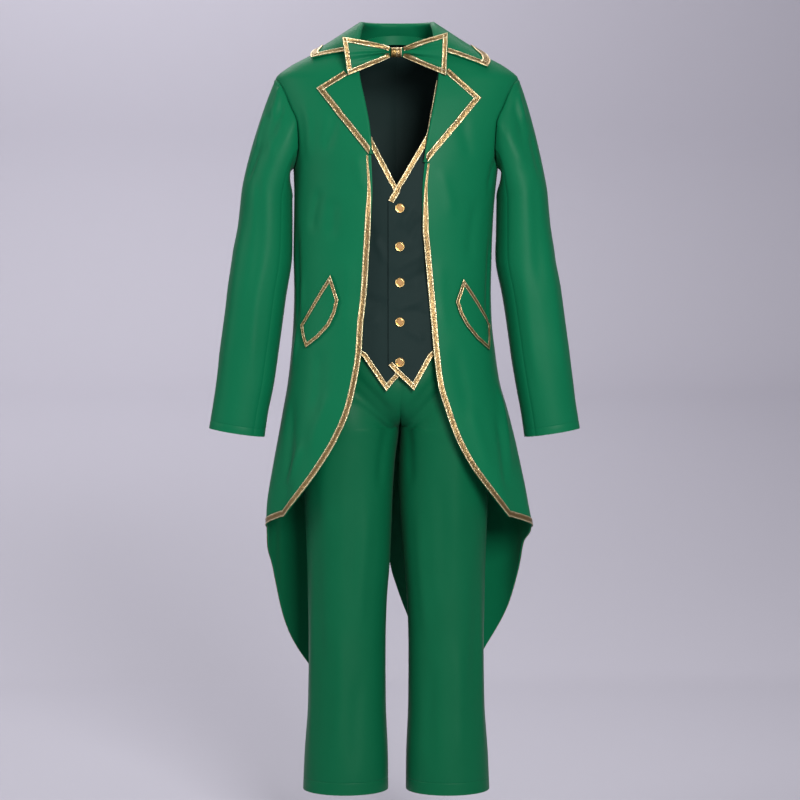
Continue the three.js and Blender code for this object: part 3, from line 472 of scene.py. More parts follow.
def read_straight(rows, column, place):
    """Reads a table whose z falls, along straight lines."""
    return np.interp(place, rows["z"][::-1], rows[column][::-1])


def power(value):
    return np.sign(value) * np.abs(value) ** SQUARE


def unit(vectors):
    return vectors / np.maximum(np.linalg.norm(vectors, axis=-1, keepdims=True), 1e-9)


def ring_point(rows, side, angle, z):
    """A point of a body ring, at an angle from the centre front (0) to the centre back (180)."""
    turn = np.radians(angle)
    across, along = power(np.sin(turn)), power(np.cos(turn))
    depth = np.where(along > 0, read(rows, "front", z), read(rows, "back", z))
    x = side * read(rows, "half", z) * across + read(rows, "lean", z) * across**2
    return np.stack([x, -depth * along, z + 0 * x], axis=-1)


def ring_angle(rows, x, z, behind=False):
    """The angle at which a ring stands this far from the centre."""
    share = np.clip(x / read(rows, "half", z), -1, 1)
    angle = np.degrees(np.arcsin(np.sign(share) * np.abs(share) ** (1 / SQUARE)))
    return 180 - angle if behind else angle


class Surface:
    """A form with two places on it, p and q, that can be left by a distance square to it. The limits of
    each place keep its slope from being measured past the form's end."""

    def __init__(self, form, facing, step_p=0.5, step_q=1.0, limits=((-1e9, 1e9), (-1e9, 1e9))):
        self.form = form
        self.facing = facing
        self.steps = (step_p, step_q)
        self.limits = limits

    def slopes(self, p, q):
        """How far the form moves for one unit of each place."""
        (step_p, step_q), (limits_p, limits_q) = self.steps, self.limits
        p = np.clip(p, limits_p[0] + step_p, limits_p[1] - step_p)
        q = np.clip(q, limits_q[0] + step_q, limits_q[1] - step_q)
        along_p = (self.form(p + step_p, q) - self.form(p - step_p, q)) / (2 * step_p)
        along_q = (self.form(p, q + step_q) - self.form(p, q - step_q)) / (2 * step_q)
        return along_p, along_q

    def normal(self, p, q):
        along_p, along_q = self.slopes(p, q)
        return unit(np.cross(along_p, along_q)) * self.facing

    def __call__(self, p, q, out=0.0):
        out = np.asarray(out, float)
        if not out.any():
            return self.form(p, q)
        return self.form(p, q) + self.normal(p, q) * out[..., None]

    def creased(self, creases, scale):
        """The same surface with soft troughs and ridges, given in millimetres along each place."""

        def form(p, q):
            return self(p, q, crease_depth(creases, p * scale[0], q * scale[1]))

        return Surface(form, self.facing, *self.steps, self.limits)


def crease_depth(creases, across, along):
    """Height of all the creases at a point. Each one runs from a first point to a second, bends
    sideways by bow, has a width and a depth, below 0 in a trough, and dies out at both ends."""
    total = np.zeros(np.broadcast(across, along).shape)
    for x1, z1, x2, z2, width, depth, bow in creases:
        run = np.array([x2 - x1, z2 - z1], float)
        length = np.hypot(*run)
        run /= length
        t = ((across - x1) * run[0] + (along - z1) * run[1]) / length
        off = (across - x1) * run[1] - (along - z1) * run[0] - bow * 4 * t * (1 - t)
        ends = ease(t / 0.3) * ease((1 - t) / 0.3)
        total = total + depth * ends * np.exp(-((off / width) ** 2))
    return total


def coat_form(side):
    """The coat body with the wide folds of its skirt."""

    def form(angle, z):
        point = ring_point(COAT, side, angle, z)
        fold = 0
        for middle, spread, depth, top, bottom in SKIRT_FOLDS:
            shape = np.exp(-(((angle - middle) / spread) ** 2))
            fold = fold + depth * shape * ease((z - top) / (bottom - top))
        grow = 1 + fold / np.hypot(point[..., 0], point[..., 1])
        return np.stack([point[..., 0] * grow, point[..., 1] * grow, point[..., 2]], axis=-1)

    return form


def edge_angle(name, z):
    """Angle of the coat's front edge, which swings round to the side at the bottom."""
    straight = ring_angle(COAT, read(FRONT_EDGE, name, z), z)
    start = ring_angle(COAT, read(FRONT_EDGE, name, CUTAWAY_SIDE), CUTAWAY_SIDE)
    share = np.clip((z - CUTAWAY_SIDE) / (COAT_HEM - CUTAWAY_SIDE), 0, 1)
    return np.where(z >= CUTAWAY_SIDE, straight, mix(start, 90, share**0.8))


def armhole_angle(z, behind):
    angle = ring_angle(COAT, read(ARMHOLE, "back" if behind else "front", z), z, behind)
    return np.where((z >= SHOULDER_TIP) | (z <= ARMPIT), 90, angle)


def inner_angle(name, z):
    return ring_angle(COAT, read(TAIL, "inner_" + name.lower(), z), z, True)


def tail_angle(name, z):
    return np.where(z > COAT_HEM, 90, read(TAIL, "outer_" + name.lower(), z))


# The coat's own creases, as angle times COAT_SCALE from the centre front and height. The scale is
# millimetres for each degree and for each unit of height.
COAT_SCALE = (3.1, 1.0)
COAT_CREASES = {
    "R": [
        (86, -112, 130, -190, 11, -2.9, 4),
        (62, -185, 50, -262, 9, 2.2, -3),
        (150, -90, 178, -210, 12, 2.2, 8),
        (112, -262, 117, -345, 13, -2.4, 3),
        (138, -246, 166, -335, 12, -2.6, -5),
        (84, -360, 96, -520, 15, 1.9, 6),
        (224, -300, 206, -540, 13, -4.2, -6),
        (199, -385, 240, -590, 12, 3.0, 6),
        (142, -520, 135, -670, 16, -2.7, 4),
        (212, -610, 180, -830, 15, -3.5, 6),
        (106, -600, 136, -730, 13, 2.2, -5),
        (156, -690, 194, -790, 11, 3.8, 4),
        (300, -120, 330, -330, 20, 2.9, 8),
        (360, -90, 420, -260, 18, -3.2, -6),
        (480, -120, 455, -360, 22, 2.4, 8),
        (330, -420, 300, -640, 16, -3.5, 8),
        (400, -480, 430, -760, 18, 3.2, -8),
        (500, -620, 480, -980, 16, -2.9, 8),
    ],
    "L": [
        (96, -120, 140, -205, 12, -2.2, 5),
        (236, -136, 200, -176, 6, 2.6, 2),
        (238, -176, 196, -262, 10, -2.4, 4),
        (66, -212, 98, -310, 11, 2.1, -4),
        (165, -262, 143, -390, 15, -2.4, 5),
        (230, -320, 208, -540, 12, -3.8, -6),
        (72, -370, 86, -510, 13, 1.9, 4),
        (99, -520, 117, -670, 15, -2.4, -4),
        (244, -580, 204, -770, 14, 3.2, 6),
        (120, -610, 146, -760, 13, 2.2, 5),
        (190, -640, 176, -800, 12, -2.9, -4),
        (310, -110, 335, -320, 20, 2.7, 8),
        (380, -100, 425, -290, 17, -3.2, -8),
        (490, -130, 460, -340, 22, 2.6, 6),
        (320, -400, 305, -660, 15, -3.2, 8),
        (410, -500, 425, -740, 18, 3.2, -6),
        (495, -600, 470, -1000, 17, -2.9, 8),
    ],
}
COAT_SURFACE = {
    name: Surface(coat_form(side), side).creased(COAT_CREASES[name], COAT_SCALE)
    for name, side in SIDES.items()
}


def front_form(name):
    """The coat's front, whose edge rolls inwards for a hand's length below the lapel."""

    def form(angle, z):
        distance = (angle - edge_angle(name, z)) * COAT_SCALE[0]
        near = np.exp(-((distance / EDGE_REACH) ** 2))
        roll = EDGE_ROLL * near * ease((z - EDGE_FLAT) / EDGE_FADE)
        return COAT_SURFACE[name](angle, z, -roll)

    return form


FRONT_SURFACE = {name: Surface(front_form(name), side) for name, side in SIDES.items()}


# Materials. Distances in them are in metres.


def colour(code):
    """Linear colour of an sRGB hex value."""
    levels = [int(code[i : i + 2], 16) / 255 for i in (0, 2, 4)]
    return [v / 12.92 if v <= 0.04045 else ((v + 0.055) / 1.055) ** 2.4 for v in levels] + [1]


def rib_scale(spacing):
    """Scale of a diagonal wave pattern whose ribs lie this many millimetres apart. The pattern's turn
    in radians is ten times the sum of its two scaled places."""
    return 2 * math.pi / (10 * math.sqrt(2) * spacing * MM)


# Millimetres between threads or ribs. Real ones lie 0.4 mm apart in the suiting and about 1 mm in the
# twill. Both are drawn coarser, to show in the render.
WEAVE_SPACING = 1.0668
RIB_SPACING = 1.3463


def shader(name):
    """An empty material and its node tree."""
    made = bpy.data.materials.new(name)
    made.use_nodes = True
    made.node_tree.nodes.clear()
    return made, made.node_tree


def node(tree, kind, inputs=None, **settings):
    """Adds a shader node, sets its properties, and sets or links its inputs."""
    made = tree.nodes.new(kind)
    for key, value in settings.items():
        setattr(made, key, value)
    for key, value in (inputs or {}).items():
        if isinstance(value, bpy.types.NodeSocket):
            tree.links.new(value, made.inputs[key])
        else:
            made.inputs[key].default_value = value
    return made


def suiting(name, code, sheen):
    """Polyester suiting, piece-dyed and pressed: an even colour, a fine weave and a soft satin glow."""
    made, tree = shader(name)
    place = node(tree, "ShaderNodeTexCoord")
    cloud = node(tree, "ShaderNodeTexNoise", {"Vector": place.outputs["Object"], "Scale": 9, "Detail": 3})
    shade = node(
        tree, "ShaderNodeMapRange", {"Value": cloud.outputs["Fac"], "To Min": 0.93, "To Max": 1.07}
    )
    tone = node(
        tree, "ShaderNodeHueSaturation", {"Color": colour(code), "Value": shade.outputs["Result"]}
    )
    weave = node(
        tree,
        "ShaderNodeTexWave",
        {"Vector": place.outputs["UV"], "Scale": rib_scale(WEAVE_SPACING), "Distortion": 0.6},
        bands_direction="DIAGONAL",
    )
    bump = node(
        tree,
        "ShaderNodeBump",
        {"Height": weave.outputs["Fac"], "Strength": 0.12, "Distance": 0.0002},
    )
    surface = node(
        tree,
        "ShaderNodeBsdfPrincipled",
        {
            "Base Color": tone.outputs["Color"],
            "Roughness": 0.45,
            "Specular IOR Level": 0.09,
            "Sheen Weight": sheen,
            "Sheen Roughness": 0.35,
            "Normal": bump.outputs["Normal"],
        },
    )
    node(tree, "ShaderNodeOutputMaterial", {"Surface": surface.outputs["BSDF"]})
    return made


def vest_twill():
    """Matte polyester twill: close dark diagonal ribs that take little light."""
    made, tree = shader("matte twill")
    place = node(tree, "ShaderNodeTexCoord")
    ribs = node(
        tree,
        "ShaderNodeTexWave",
        {"Vector": place.outputs["UV"], "Scale": rib_scale(RIB_SPACING), "Distortion": 0.4},
        bands_direction="DIAGONAL",
    )
    bump = node(
        tree,
        "ShaderNodeBump",
        {"Height": ribs.outputs["Fac"], "Strength": 0.2, "Distance": 0.0003},
    )
    surface = node(
        tree,
        "ShaderNodeBsdfPrincipled",
        {
            "Base Color": colour("162826"),
            "Roughness": 0.65,
            "Specular IOR Level": 0.12,
            "Sheen Weight": 0.04,
            "Normal": bump.outputs["Normal"],
        },
    )
    node(tree, "ShaderNodeOutputMaterial", {"Surface": surface.outputs["BSDF"]})
    return made


# Tape colours by share of its width: the cut edge, a painted highlight beside it where the folded edge
# catches light, and a tan middle painted darker as a reflection.
TAPE_HIGHLIGHT_STOPS = (
    (0.0, "8A7040"),
    (0.1, "F4E6BA"),
    (0.2, "A0865A"),
    (0.5, "80673F"),
    (0.8, "A0865A"),
    (0.9, "F4E6BA"),
    (1.0, "8A7040"),
)


def gold_lame():
    """Gold lame tape, a foil-coated weave sewn flat, with painted highlights where its folded edges catch
    the light and a tan middle painted darker as a reflection. The painted stripes waver every centimetre
    or so, and the tape crinkles every 3 mm."""
    made, tree = shader("gold lame tape")
    place = node(tree, "ShaderNodeTexCoord")
    flat = node(tree, "ShaderNodeSeparateXYZ", {"Vector": place.outputs["UV"]})
    across = node(
        tree, "ShaderNodeMath", {0: flat.outputs["Y"], 1: 1 / (TAPE_UV * MM)}, operation="MULTIPLY"
    )
    waver = node(
        tree, "ShaderNodeTexNoise", {"Vector": place.outputs["Object"], "Scale": 95, "Detail": 2}
    )
    shift = node(
        tree, "ShaderNodeMapRange", {"Value": waver.outputs["Fac"], "To Min": -0.14, "To Max": 0.14}
    )
    place_across = node(
        tree, "ShaderNodeMath", {0: across.outputs[0], 1: shift.outputs["Result"]}, operation="ADD"
    )
    # The ramp paints highlights beside the tape's folded edges and a darker middle as reflection.
    ramp = node(tree, "ShaderNodeValToRGB", {"Fac": place_across.outputs[0]})
    fill_ramp(ramp, TAPE_HIGHLIGHT_STOPS)
    crinkle = node(
        tree, "ShaderNodeTexNoise", {"Vector": place.outputs["Object"], "Scale": 320, "Detail": 3}
    )
    bump = node(
        tree,
        "ShaderNodeBump",
        {"Height": crinkle.outputs["Fac"], "Strength": 0.9, "Distance": 0.0016},
    )
    surface = node(
        tree,
        "ShaderNodeBsdfPrincipled",
        {
            "Base Color": ramp.outputs["Color"],
            "Metallic": 0.78,
            "Roughness": 0.29,
            "Normal": bump.outputs["Normal"],
        },
    )
    node(tree, "ShaderNodeOutputMaterial", {"Surface": surface.outputs["BSDF"]})
    return made


def fill_ramp(ramp, stops):
    """Gives a colour ramp its stops, each a place from 0 to 1 and a colour."""
    elements = ramp.color_ramp.elements
    while len(elements) > 1:
        elements.remove(elements[-1])
    elements[0].position, elements[0].color = stops[0][0], colour(stops[0][1])
    for position, code in stops[1:]:
        elements.new(position).color = colour(code)


def gilt_brass():
    """Gold-plated stamped brass: a polished rim round a flat face that is duller, whose darker colour is a
    painted reflection. The flat face looks straight to the front, so it is told by its normal."""
    made, tree = shader("gold plated brass")
    place = node(tree, "ShaderNodeTexCoord")
    marks = node(
        tree, "ShaderNodeTexNoise", {"Vector": place.outputs["Object"], "Scale": 600, "Detail": 2}
    )
    bump = node(
        tree,
        "ShaderNodeBump",
        {"Height": marks.outputs["Fac"], "Strength": 0.1, "Distance": 0.0002},
    )
    facing = node(tree, "ShaderNodeSeparateXYZ", {"Vector": place.outputs["Normal"]})
    flat = {"Value": facing.outputs["Y"], "From Min": -1, "From Max": -0.9995}
    rim = node(tree, "ShaderNodeMapRange", flat)
    rough = node(tree, "ShaderNodeMapRange", flat | {"To Min": 0.5, "To Max": 0.25})
    # The flat face's darker colour is painted reflection. Its higher roughness is the brass's own.
    painted_reflection_tint = node(tree, "ShaderNodeValToRGB", {"Fac": rim.outputs["Result"]})
    fill_ramp(painted_reflection_tint, ((0, "93714A"), (1, "E3C488")))
    surface = node(
        tree,
        "ShaderNodeBsdfPrincipled",
        {
            "Base Color": painted_reflection_tint.outputs["Color"],
            "Metallic": 1,
            "Roughness": rough.outputs["Result"],
            "Normal": bump.outputs["Normal"],
        },
    )
    node(tree, "ShaderNodeOutputMaterial", {"Surface": surface.outputs["BSDF"]})
    return made


COAT_CLOTH = suiting("green polyester suiting", "0A6642", 0.03)
TROUSER_CLOTH = suiting("green trouser suiting", "085A39", 0.025)
VEST_CLOTH = vest_twill()
GOLD = gold_lame()
BRASS = gilt_brass()


# Mesh making


def select_only(piece):
    bpy.ops.object.select_all(action="DESELECT")
    piece.select_set(True)
    bpy.context.view_layer.objects.active = piece


def grid_mesh(name, points, uv, outward):
    """Adds a grid and shapes it to an array of points, rows by columns. uv is the flat place of each
    point in millimetres, and outward the way that the cloth faces at its middle point."""
    rows, columns = points.shape[:2]
    bpy.ops.object.select_all(action="DESELECT")
    bpy.ops.mesh.primitive_grid_add(x_subdivisions=columns - 1, y_subdivisions=rows - 1, size=1)
    piece = bpy.context.object
    piece.name = name
    mesh = piece.data
    mesh.name = name
    start = np.empty(len(mesh.vertices) * 3)
    mesh.vertices.foreach_get("co", start)
    start = start.reshape(-1, 3)
    column = np.rint((start[:, 0] + 0.5) * (columns - 1)).astype(int)
    row = np.rint((start[:, 1] + 0.5) * (rows - 1)).astype(int)
    mesh.vertices.foreach_set("co", (points[row, column] * MM).ravel())
    corner = np.empty(len(mesh.loops), int)
    mesh.loops.foreach_get("vertex_index", corner)
    mesh.uv_layers.active.data.foreach_set("uv", (uv[row, column] * MM)[corner].ravel())
    mesh.update()
    middle_row, middle_column = rows // 2, columns // 2
    face = mesh.polygons[min(middle_row, rows - 2) * (columns - 1) + min(middle_column, columns - 2)]
    if face.normal.dot(Vector(outward[middle_row, middle_column])) < 0:
        in_edit_mode(lambda: bpy.ops.mesh.flip_normals())
    return piece


def in_edit_mode(work):
    """Does some work in edit mode on the active piece, with all of it selected."""
    bpy.ops.object.mode_set(mode="EDIT")
    bpy.ops.mesh.select_all(action="SELECT")
    work()
    bpy.ops.object.mode_set(mode="OBJECT")


def apply(piece, kind, **settings):
    """Adds a modifier and applies it."""
    modifier = piece.modifiers.new(kind.title(), kind)
    for key, value in settings.items():
        setattr(modifier, key, value)
    select_only(piece)
    bpy.ops.object.modifier_apply(modifier=modifier.name)


def finish_piece(piece, replaced, material, sharp=38):
    """Shades a piece, gives it its material, and lets it stand for its CAD node."""
    select_only(piece)
    bpy.ops.object.shade_smooth_by_angle(angle=math.radians(sharp))
    piece.data.materials.clear()
    piece.data.materials.append(material)
    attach(piece, "root")
    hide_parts(replaced)


def cloth(name, surface, p, q, scale, lift=0.0, thick=CLOTH, closed=False):
    """A piece of cloth over a grid of places on a surface. scale turns each place to millimetres, and
    lift is the cloth's outer side above the surface."""
    p, q = np.broadcast_arrays(p, q)
    points = surface(p, q, lift)
    uv = np.stack([p * scale[0], q * scale[1]], axis=-1)
    piece = grid_mesh(name, points, uv, surface.normal(p, q))
    if closed:
        in_edit_mode(lambda: bpy.ops.mesh.remove_doubles(threshold=1e-5))
    apply(piece, "SOLIDIFY", thickness=thick * MM, offset=-1)
    return piece


def spread(count, margin=0.02):
    """Shares from 0 to 1 in equal steps, with closer ones near both ends."""
    near = [0, 0.3 * margin, 0.65 * margin]
    inner = np.linspace(margin, 1 - margin, count)
    return np.concatenate([near, inner, [1 - v for v in reversed(near)]])


def seam_sink(shares, width, depth=1.1, reach=4.0, sides=(True, True)):
    """How far cloth sinks beside a seam at either end of its rows, which are this wide."""
    sink = 0
    for at_end, distance in zip(sides, (shares * width, (1 - shares) * width)):
        if at_end:
            sink = sink - depth * np.exp(-((distance / reach) ** 2))
    return sink


# The back sinks at the waist seam. Below the hem the tails have edges and no seams, so the sinking beside
# seams fades out above it.
WAIST_SINK = 0.8
WAIST_REACH = 3
SEAM_FADE = 60

# The front stops this far above COAT_HEM, where it would have no width.
FRONT_STOP = 4

# Heights of the coat's rows: neck to shoulder tip, armhole, then the body.
SHOULDER_ROWS = np.linspace(NECK_LINE, SHOULDER_TIP, 15)[:-1]
ARMHOLE_ROWS = mix(SHOULDER_TIP, ARMPIT, (1 - np.cos(np.linspace(0, np.pi, 34))) / 2)
BODY_ROWS = np.linspace(ARMPIT, CUTAWAY_SIDE, 104)[1:]
FRONT_HEM_ROWS = np.linspace(CUTAWAY_SIDE, COAT_HEM + FRONT_STOP, 12)[1:]
TAIL_ROWS = np.linspace(CUTAWAY_SIDE, TAIL_TIP, 70)[1:]


def coat_front(name):
    """A front panel runs from the neck down to its cut-away hem."""
    rows = np.concatenate([SHOULDER_ROWS, ARMHOLE_ROWS, BODY_ROWS, FRONT_HEM_ROWS])[:, None]
    shares = spread(40)[None, :]
    near, far = edge_angle(name, rows), armhole_angle(rows, False)
    sink = seam_sink(shares, (far - near) * COAT_SCALE[0], sides=(False, True))
    piece = cloth(
        "coat_front_" + name + "_cloth",
        FRONT_SURFACE[name],
        mix(near, far, shares),
        rows,
        COAT_SCALE,
        sink,
    )
    finish_piece(piece, "coat_front_" + name, COAT_CLOTH)


def coat_back(name):
    """The back is cut at the waist, where its swallow tail is sewn on."""
    above, below = np.linspace(ARMPIT, COAT_WAIST, 38)[1:], np.linspace(COAT_WAIST, CUTAWAY_SIDE, 68)
    panels = [
        ("coat_back_", [SHOULDER_ROWS, ARMHOLE_ROWS, above], (0.27, 0.5), 0.105),
        ("coat_tail_", [below, TAIL_ROWS], (0.33, 0.85), 0.2),
    ]
    for kind, stretches, flat, area in panels:
        rows = np.concatenate(stretches)[:, None]
        shares = spread(46)[None, :]
        near = np.maximum(armhole_angle(rows, True), tail_angle(name, rows))
        far = inner_angle(name, rows)
        sink = seam_sink(shares, (far - near) * COAT_SCALE[0]) * ease((rows - COAT_HEM) / SEAM_FADE)
        sink = sink - WAIST_SINK * np.exp(-(((rows - COAT_WAIST) / WAIST_REACH) ** 2))
        piece = cloth(
            kind + name + "_cloth", COAT_SURFACE[name], mix(near, far, shares), rows, COAT_SCALE, sink
        )
        finish_piece(piece, kind + name, COAT_CLOTH)


def sleeve_form(name):
    """A sleeve from the armhole's loop: turn is 0 on top, 90 in front and 180 under the arm. The place
    along it is 0 at the armhole, 1 below the sleeve head and 2 at the cuff, and below 0 in the seam
    allowance, which lies under the coat's edge."""
    side = SIDES[name]
    body = coat_form(side)
    head_z, cuff_z = SLEEVE["z"][0], SLEEVE["z"][-1]

    def ring(turn, z):
        out = read(SLEEVE, "half", z) * np.cos(turn)
        y = read(SLEEVE, "y", z) - read(SLEEVE, "deep", z) * np.sin(turn)
        x = side * (read(SLEEVE, "mid", z) + out) + read(SLEEVE, "lean", z)
        return np.stack([x, y, z + SLEEVE_TILT * out], axis=-1)

    def head(turn, t):
        sin, cos = np.sin(turn), np.cos(turn)
        seam_z = mix(SHOULDER_TIP, ARMPIT, (1 - cos) / 2)
        angle = np.where(sin < 0, armhole_angle(seam_z, True), armhole_angle(seam_z, False))
        start = body(angle, seam_z)
        end = ring(turn, head_z + 0 * turn)
        way = [0 * sin + side * HEAD["out"], -HEAD["round"] * sin, -HEAD["down"] - HEAD["fall"] * cos]
        leave = unit(np.stack(way, axis=-1))
        arrive = HEAD["arrive"] * np.linalg.norm(end - start, axis=-1)
        second = start + leave * (HEAD["reach"] + HEAD["swing"] * cos)[..., None]
        third = end + np.stack([-side * HEAD["lean"] * arrive, 0 * arrive, arrive], axis=-1)
        t = t[..., None]
        early = (1 - t) ** 3 * start + 3 * t * (1 - t) ** 2 * second
        return early + 3 * t * t * (1 - t) * third + t**3 * end

    def form(turn, place):
        turn, place = np.broadcast_arrays(np.radians(turn), place)
        upper = head(turn, np.clip(place, -0.05, 1))
        lower = ring(turn, mix(head_z, cuff_z, np.clip(place - 1, -0.1, 1.1)))
        return np.where((place < 1)[..., None], upper, lower)

    return form


# Creases of the sleeves, as turn times SLEEVE_SCALE and place times SLEEVE_SCALE. The first ones are the
# ease that is taken up in the sleeve head.
SLEEVE_SCALE = (0.87, 425.0)
SLEEVE_CREASES = {
    "R": [
        (2, -14, 3, 26, 1.9, 1.2, 0),
        (8, -14, 10, 40, 2.2, 1.6, 1),
        (15, -14, 18, 34, 2.0, 1.2, 0),
        (22, -14, 27, 50, 2.6, 1.5, 2),
        (31, -14, 36, 34, 2.4, 1.0, 0),
        (-8, -14, -10, 36, 2.2, 1.2, 0),
        (-19, -14, -23, 42, 2.6, 1.4, 1),
        (24, 10, 34, 170, 8, 3.5, 5),
        (44, 30, 52, 230, 7, -2.9, 4),
        (20, 150, 34, 290, 6, 2.9, -4),
        (36, 235, 30, 400, 7, -3.0, 3),
        (62, 60, 66, 300, 10, 2.6, -5),
        (52, 330, 74, 640, 10, -2.2, 8),
        (30, 430, 38, 820, 14, 2.2, 6),
        (84, 500, 92, 760, 9, 1.9, -6),
        (-30, 40, -38, 260, 9, -2.9, 5),
        (-60, 200, -50, 520, 12, 2.6, -6),
        (-76, 420, -64, 700, 10, -2.2, 6),
    ],
    "L": [
        (4, -14, 5, 30, 2.0, 1.2, 0),
        (11, -14, 13, 36, 2.2, 1.5, 1),
        (19, -14, 23, 44, 2.4, 1.4, 1),
        (28, -14, 32, 30, 2.4, 1.0, 0),
        (-5, -14, -7, 34, 2.2, 1.2, 0),
        (-15, -14, -19, 44, 2.6, 1.5, 2),
        (20, 40, 30, 190, 7, 3.7, 4),
        (46, 60, 50, 240, 8, -2.9, -4),
        (26, 210, 32, 380, 7, -2.4, 3),
        (64, 80, 60, 330, 10, 2.4, 5),
        (56, 360, 68, 620, 11, -2.4, -7),
        (28, 460, 40, 800, 13, 2.2, 6),
        (86, 520, 90, 780, 9, 1.8, 5),
        (-34, 60, -40, 280, 10, -2.7, 5),
        (-58, 230, -52, 540, 12, 2.4, -6),
        (-78, 440, -66, 690, 10, -2.2, 6),
    ],
}


def stitched(places, length, distance):
    """A fine groove where a hem is stitched, at a distance in millimetres from the end at length."""
    return -STITCH_DEPTH * np.exp(-(((length - places - distance) / STITCH_WIDTH) ** 2))


def sleeve(name):
    """Each sleeve is cut in two: a top sleeve, and a narrower one under the arm."""
    form = sleeve_form(name)
    surface = Surface(form, SIDES[name], 2, 0.01).creased(SLEEVE_CREASES[name], SLEEVE_SCALE)
    cuff = 2 * SLEEVE_SCALE[1]
    near_stitch = CUFF_STITCH + np.array([3, 1, *np.arange(0.9, -1, -0.3)])
    near_cuff = cuff - np.append(near_stitch, [6, 0])
    body = np.concatenate([np.linspace(0, 0.06, 7), np.linspace(0.06, 1.93, 104)[1:]]) * SLEEVE_SCALE[1]
    allowance = np.linspace(-SLEEVE_ALLOWANCE, 0, 5)[:-1]
    places = np.concatenate([allowance, body, near_cuff])[:, None]
    panels = [
        ("top_sleeve_", -SLEEVE_SEAM, SLEEVE_SEAM, 60, (0.26, 0.64), 0.135),
        ("under_sleeve_", SLEEVE_SEAM, 360 - SLEEVE_SEAM, 22, (0.11, 0.51), 0.045),
    ]
    for kind, first, last, count, flat, area in panels:
        shares = spread(count)[None, :]
        turns = mix(first, last, shares)
        lift = seam_sink(shares, (last - first) * SLEEVE_SCALE[0], 0.8, 2.5)
        lift = lift + stitched(places, cuff, CUFF_STITCH)
        lift = lift - HEAD_SINK * np.exp(-((places / HEAD_REACH) ** 2))
        lift = lift - ALLOWANCE_SINK * ease(-places / SLEEVE_ALLOWANCE)
        piece = cloth(
            kind + name + "_cloth", surface, turns, places / SLEEVE_SCALE[1], SLEEVE_SCALE, lift
        )
        finish_piece(piece, kind + name, COAT_CLOTH)


def collar_form(round_, across):
    """The collar stands from the neckline seam, folds over and falls on the shoulders. The place round
    the neck runs from -1 at the right front end to 1 at the left. The place across is 0 at the seam,
    3 at the fold and 7 at the fall's edge."""
    round_, across = np.broadcast_arrays(round_, across)
    halves = []
    for name, side in SIDES.items():
        rows = COLLAR[name]
        at = np.abs(round_)
        value = {column: read(rows, column, at, "at") for column in rows if column != "at"}
        seam = np.stack([side * value["seam_x"], value["seam_y"], value["seam_z"]], axis=-1)
        fold = np.stack([side * value["fold_x"], value["fold_y"], value["fold_z"]], axis=-1)
        edge = COAT_SURFACE[name](value["angle"], value["z"], FALL_LIFT + 0 * at)
        out = edge - seam * 0.5
        out[..., 2] = 0
        out = unit(out)
        near = fold - out * FOLD_NEAR[0] - np.array([0, 0, FOLD_NEAR[1]])
        far = fold + out * FOLD_FAR[0] - np.array([0, 0, FOLD_FAR[1]])

        def fall(t):
            return mix(far, edge, t) + np.array([0, 0, 4 * FALL_BULGE * t * (1 - t)])

        section = [seam, mix(seam, near, 0.5), near, fold, far, fall(0.33), fall(0.67), edge]
        halves.append(np.stack(section))
    section = np.where((round_ < 0)[..., None], halves[0], halves[1])
    return smooth_path(section, across)


def smooth_path(points, place):
    """A smooth curve through points, which are the first axis of an array, at a place between them."""
    last = len(points) - 1
    place = np.clip(place, 0, last)
    i = np.clip(np.floor(place).astype(int), 0, last - 1)
    t = (place - i)[..., None]

    def pick(index):
        index = np.clip(index, 0, last)
        return np.take_along_axis(points, index[None, ..., None], axis=0)[0]

    a, b, c, d = (pick(i + k) for k in (-1, 0, 1, 2))
    return b + 0.5 * t * (c - a + t * (2 * a - 5 * b + 4 * c - d + t * (3 * (b - c) + d - a)))


# The form is the underside of the fall. The cloth's thickness lies above it, and the tape's surface
# faces up.
COLLAR_LIMITS = ((-1, 1), (0, COLLAR_EDGE))
COLLAR_SURFACE = Surface(collar_form, -1, 0.01, 0.05, COLLAR_LIMITS)
COLLAR_TOP = Surface(collar_form, 1, 0.01, 0.05, COLLAR_LIMITS)
COLLAR_SCALE = (250.0, 14.0)


def collar():
    around = np.linspace(-1, 1, 121)[None, :]
    across = np.linspace(0, COLLAR_EDGE, 43)[:, None]
    piece = cloth("collar_cloth", COLLAR_SURFACE, around, across, COLLAR_SCALE)
    finish_piece(piece, "collar", COAT_CLOTH)


def lapel_outer(name, z):
    return ring_angle(COAT, read_straight(LAPEL[name], "outer", z), z)


def lapel_surface(name):
    """A lapel lies on the coat's front and stands a little prouder at the roll line."""

    def form(angle, z):
        roll = edge_angle(name, z)
        share = np.clip((angle - roll) / np.maximum(lapel_outer(name, z) - roll, 1), 0, 1)
        return COAT_SURFACE[name](angle, z, LAPEL_REST + LAPEL_ROLL * (1 - share) ** 2)

    return Surface(form, SIDES[name])


def lapel_roll(surface, name):
    """The lapel's places, with the coat's cloth rolling round to it: below 0 the place across runs round
    the roll, from the coat's edge at -1 to the lapel at 0."""

    def form(across, z):
        roll, outer = edge_angle(name, z), lapel_outer(name, z)
        turn = np.pi * np.clip(-across, 0, 1)
        on_lapel = surface(mix(roll, outer, np.clip(across, 0, 1)), z)
        under = (LAPEL_REST + LAPEL_ROLL) * (1 - np.cos(turn)) / 2
        round_roll = surface(roll - ROLL_OUT * np.sin(turn) / COAT_SCALE[0], z, -under)
        return np.where((across < 0)[..., None], round_roll, on_lapel)

    return form


LAPEL_SCALE = (90.0, 1.0)


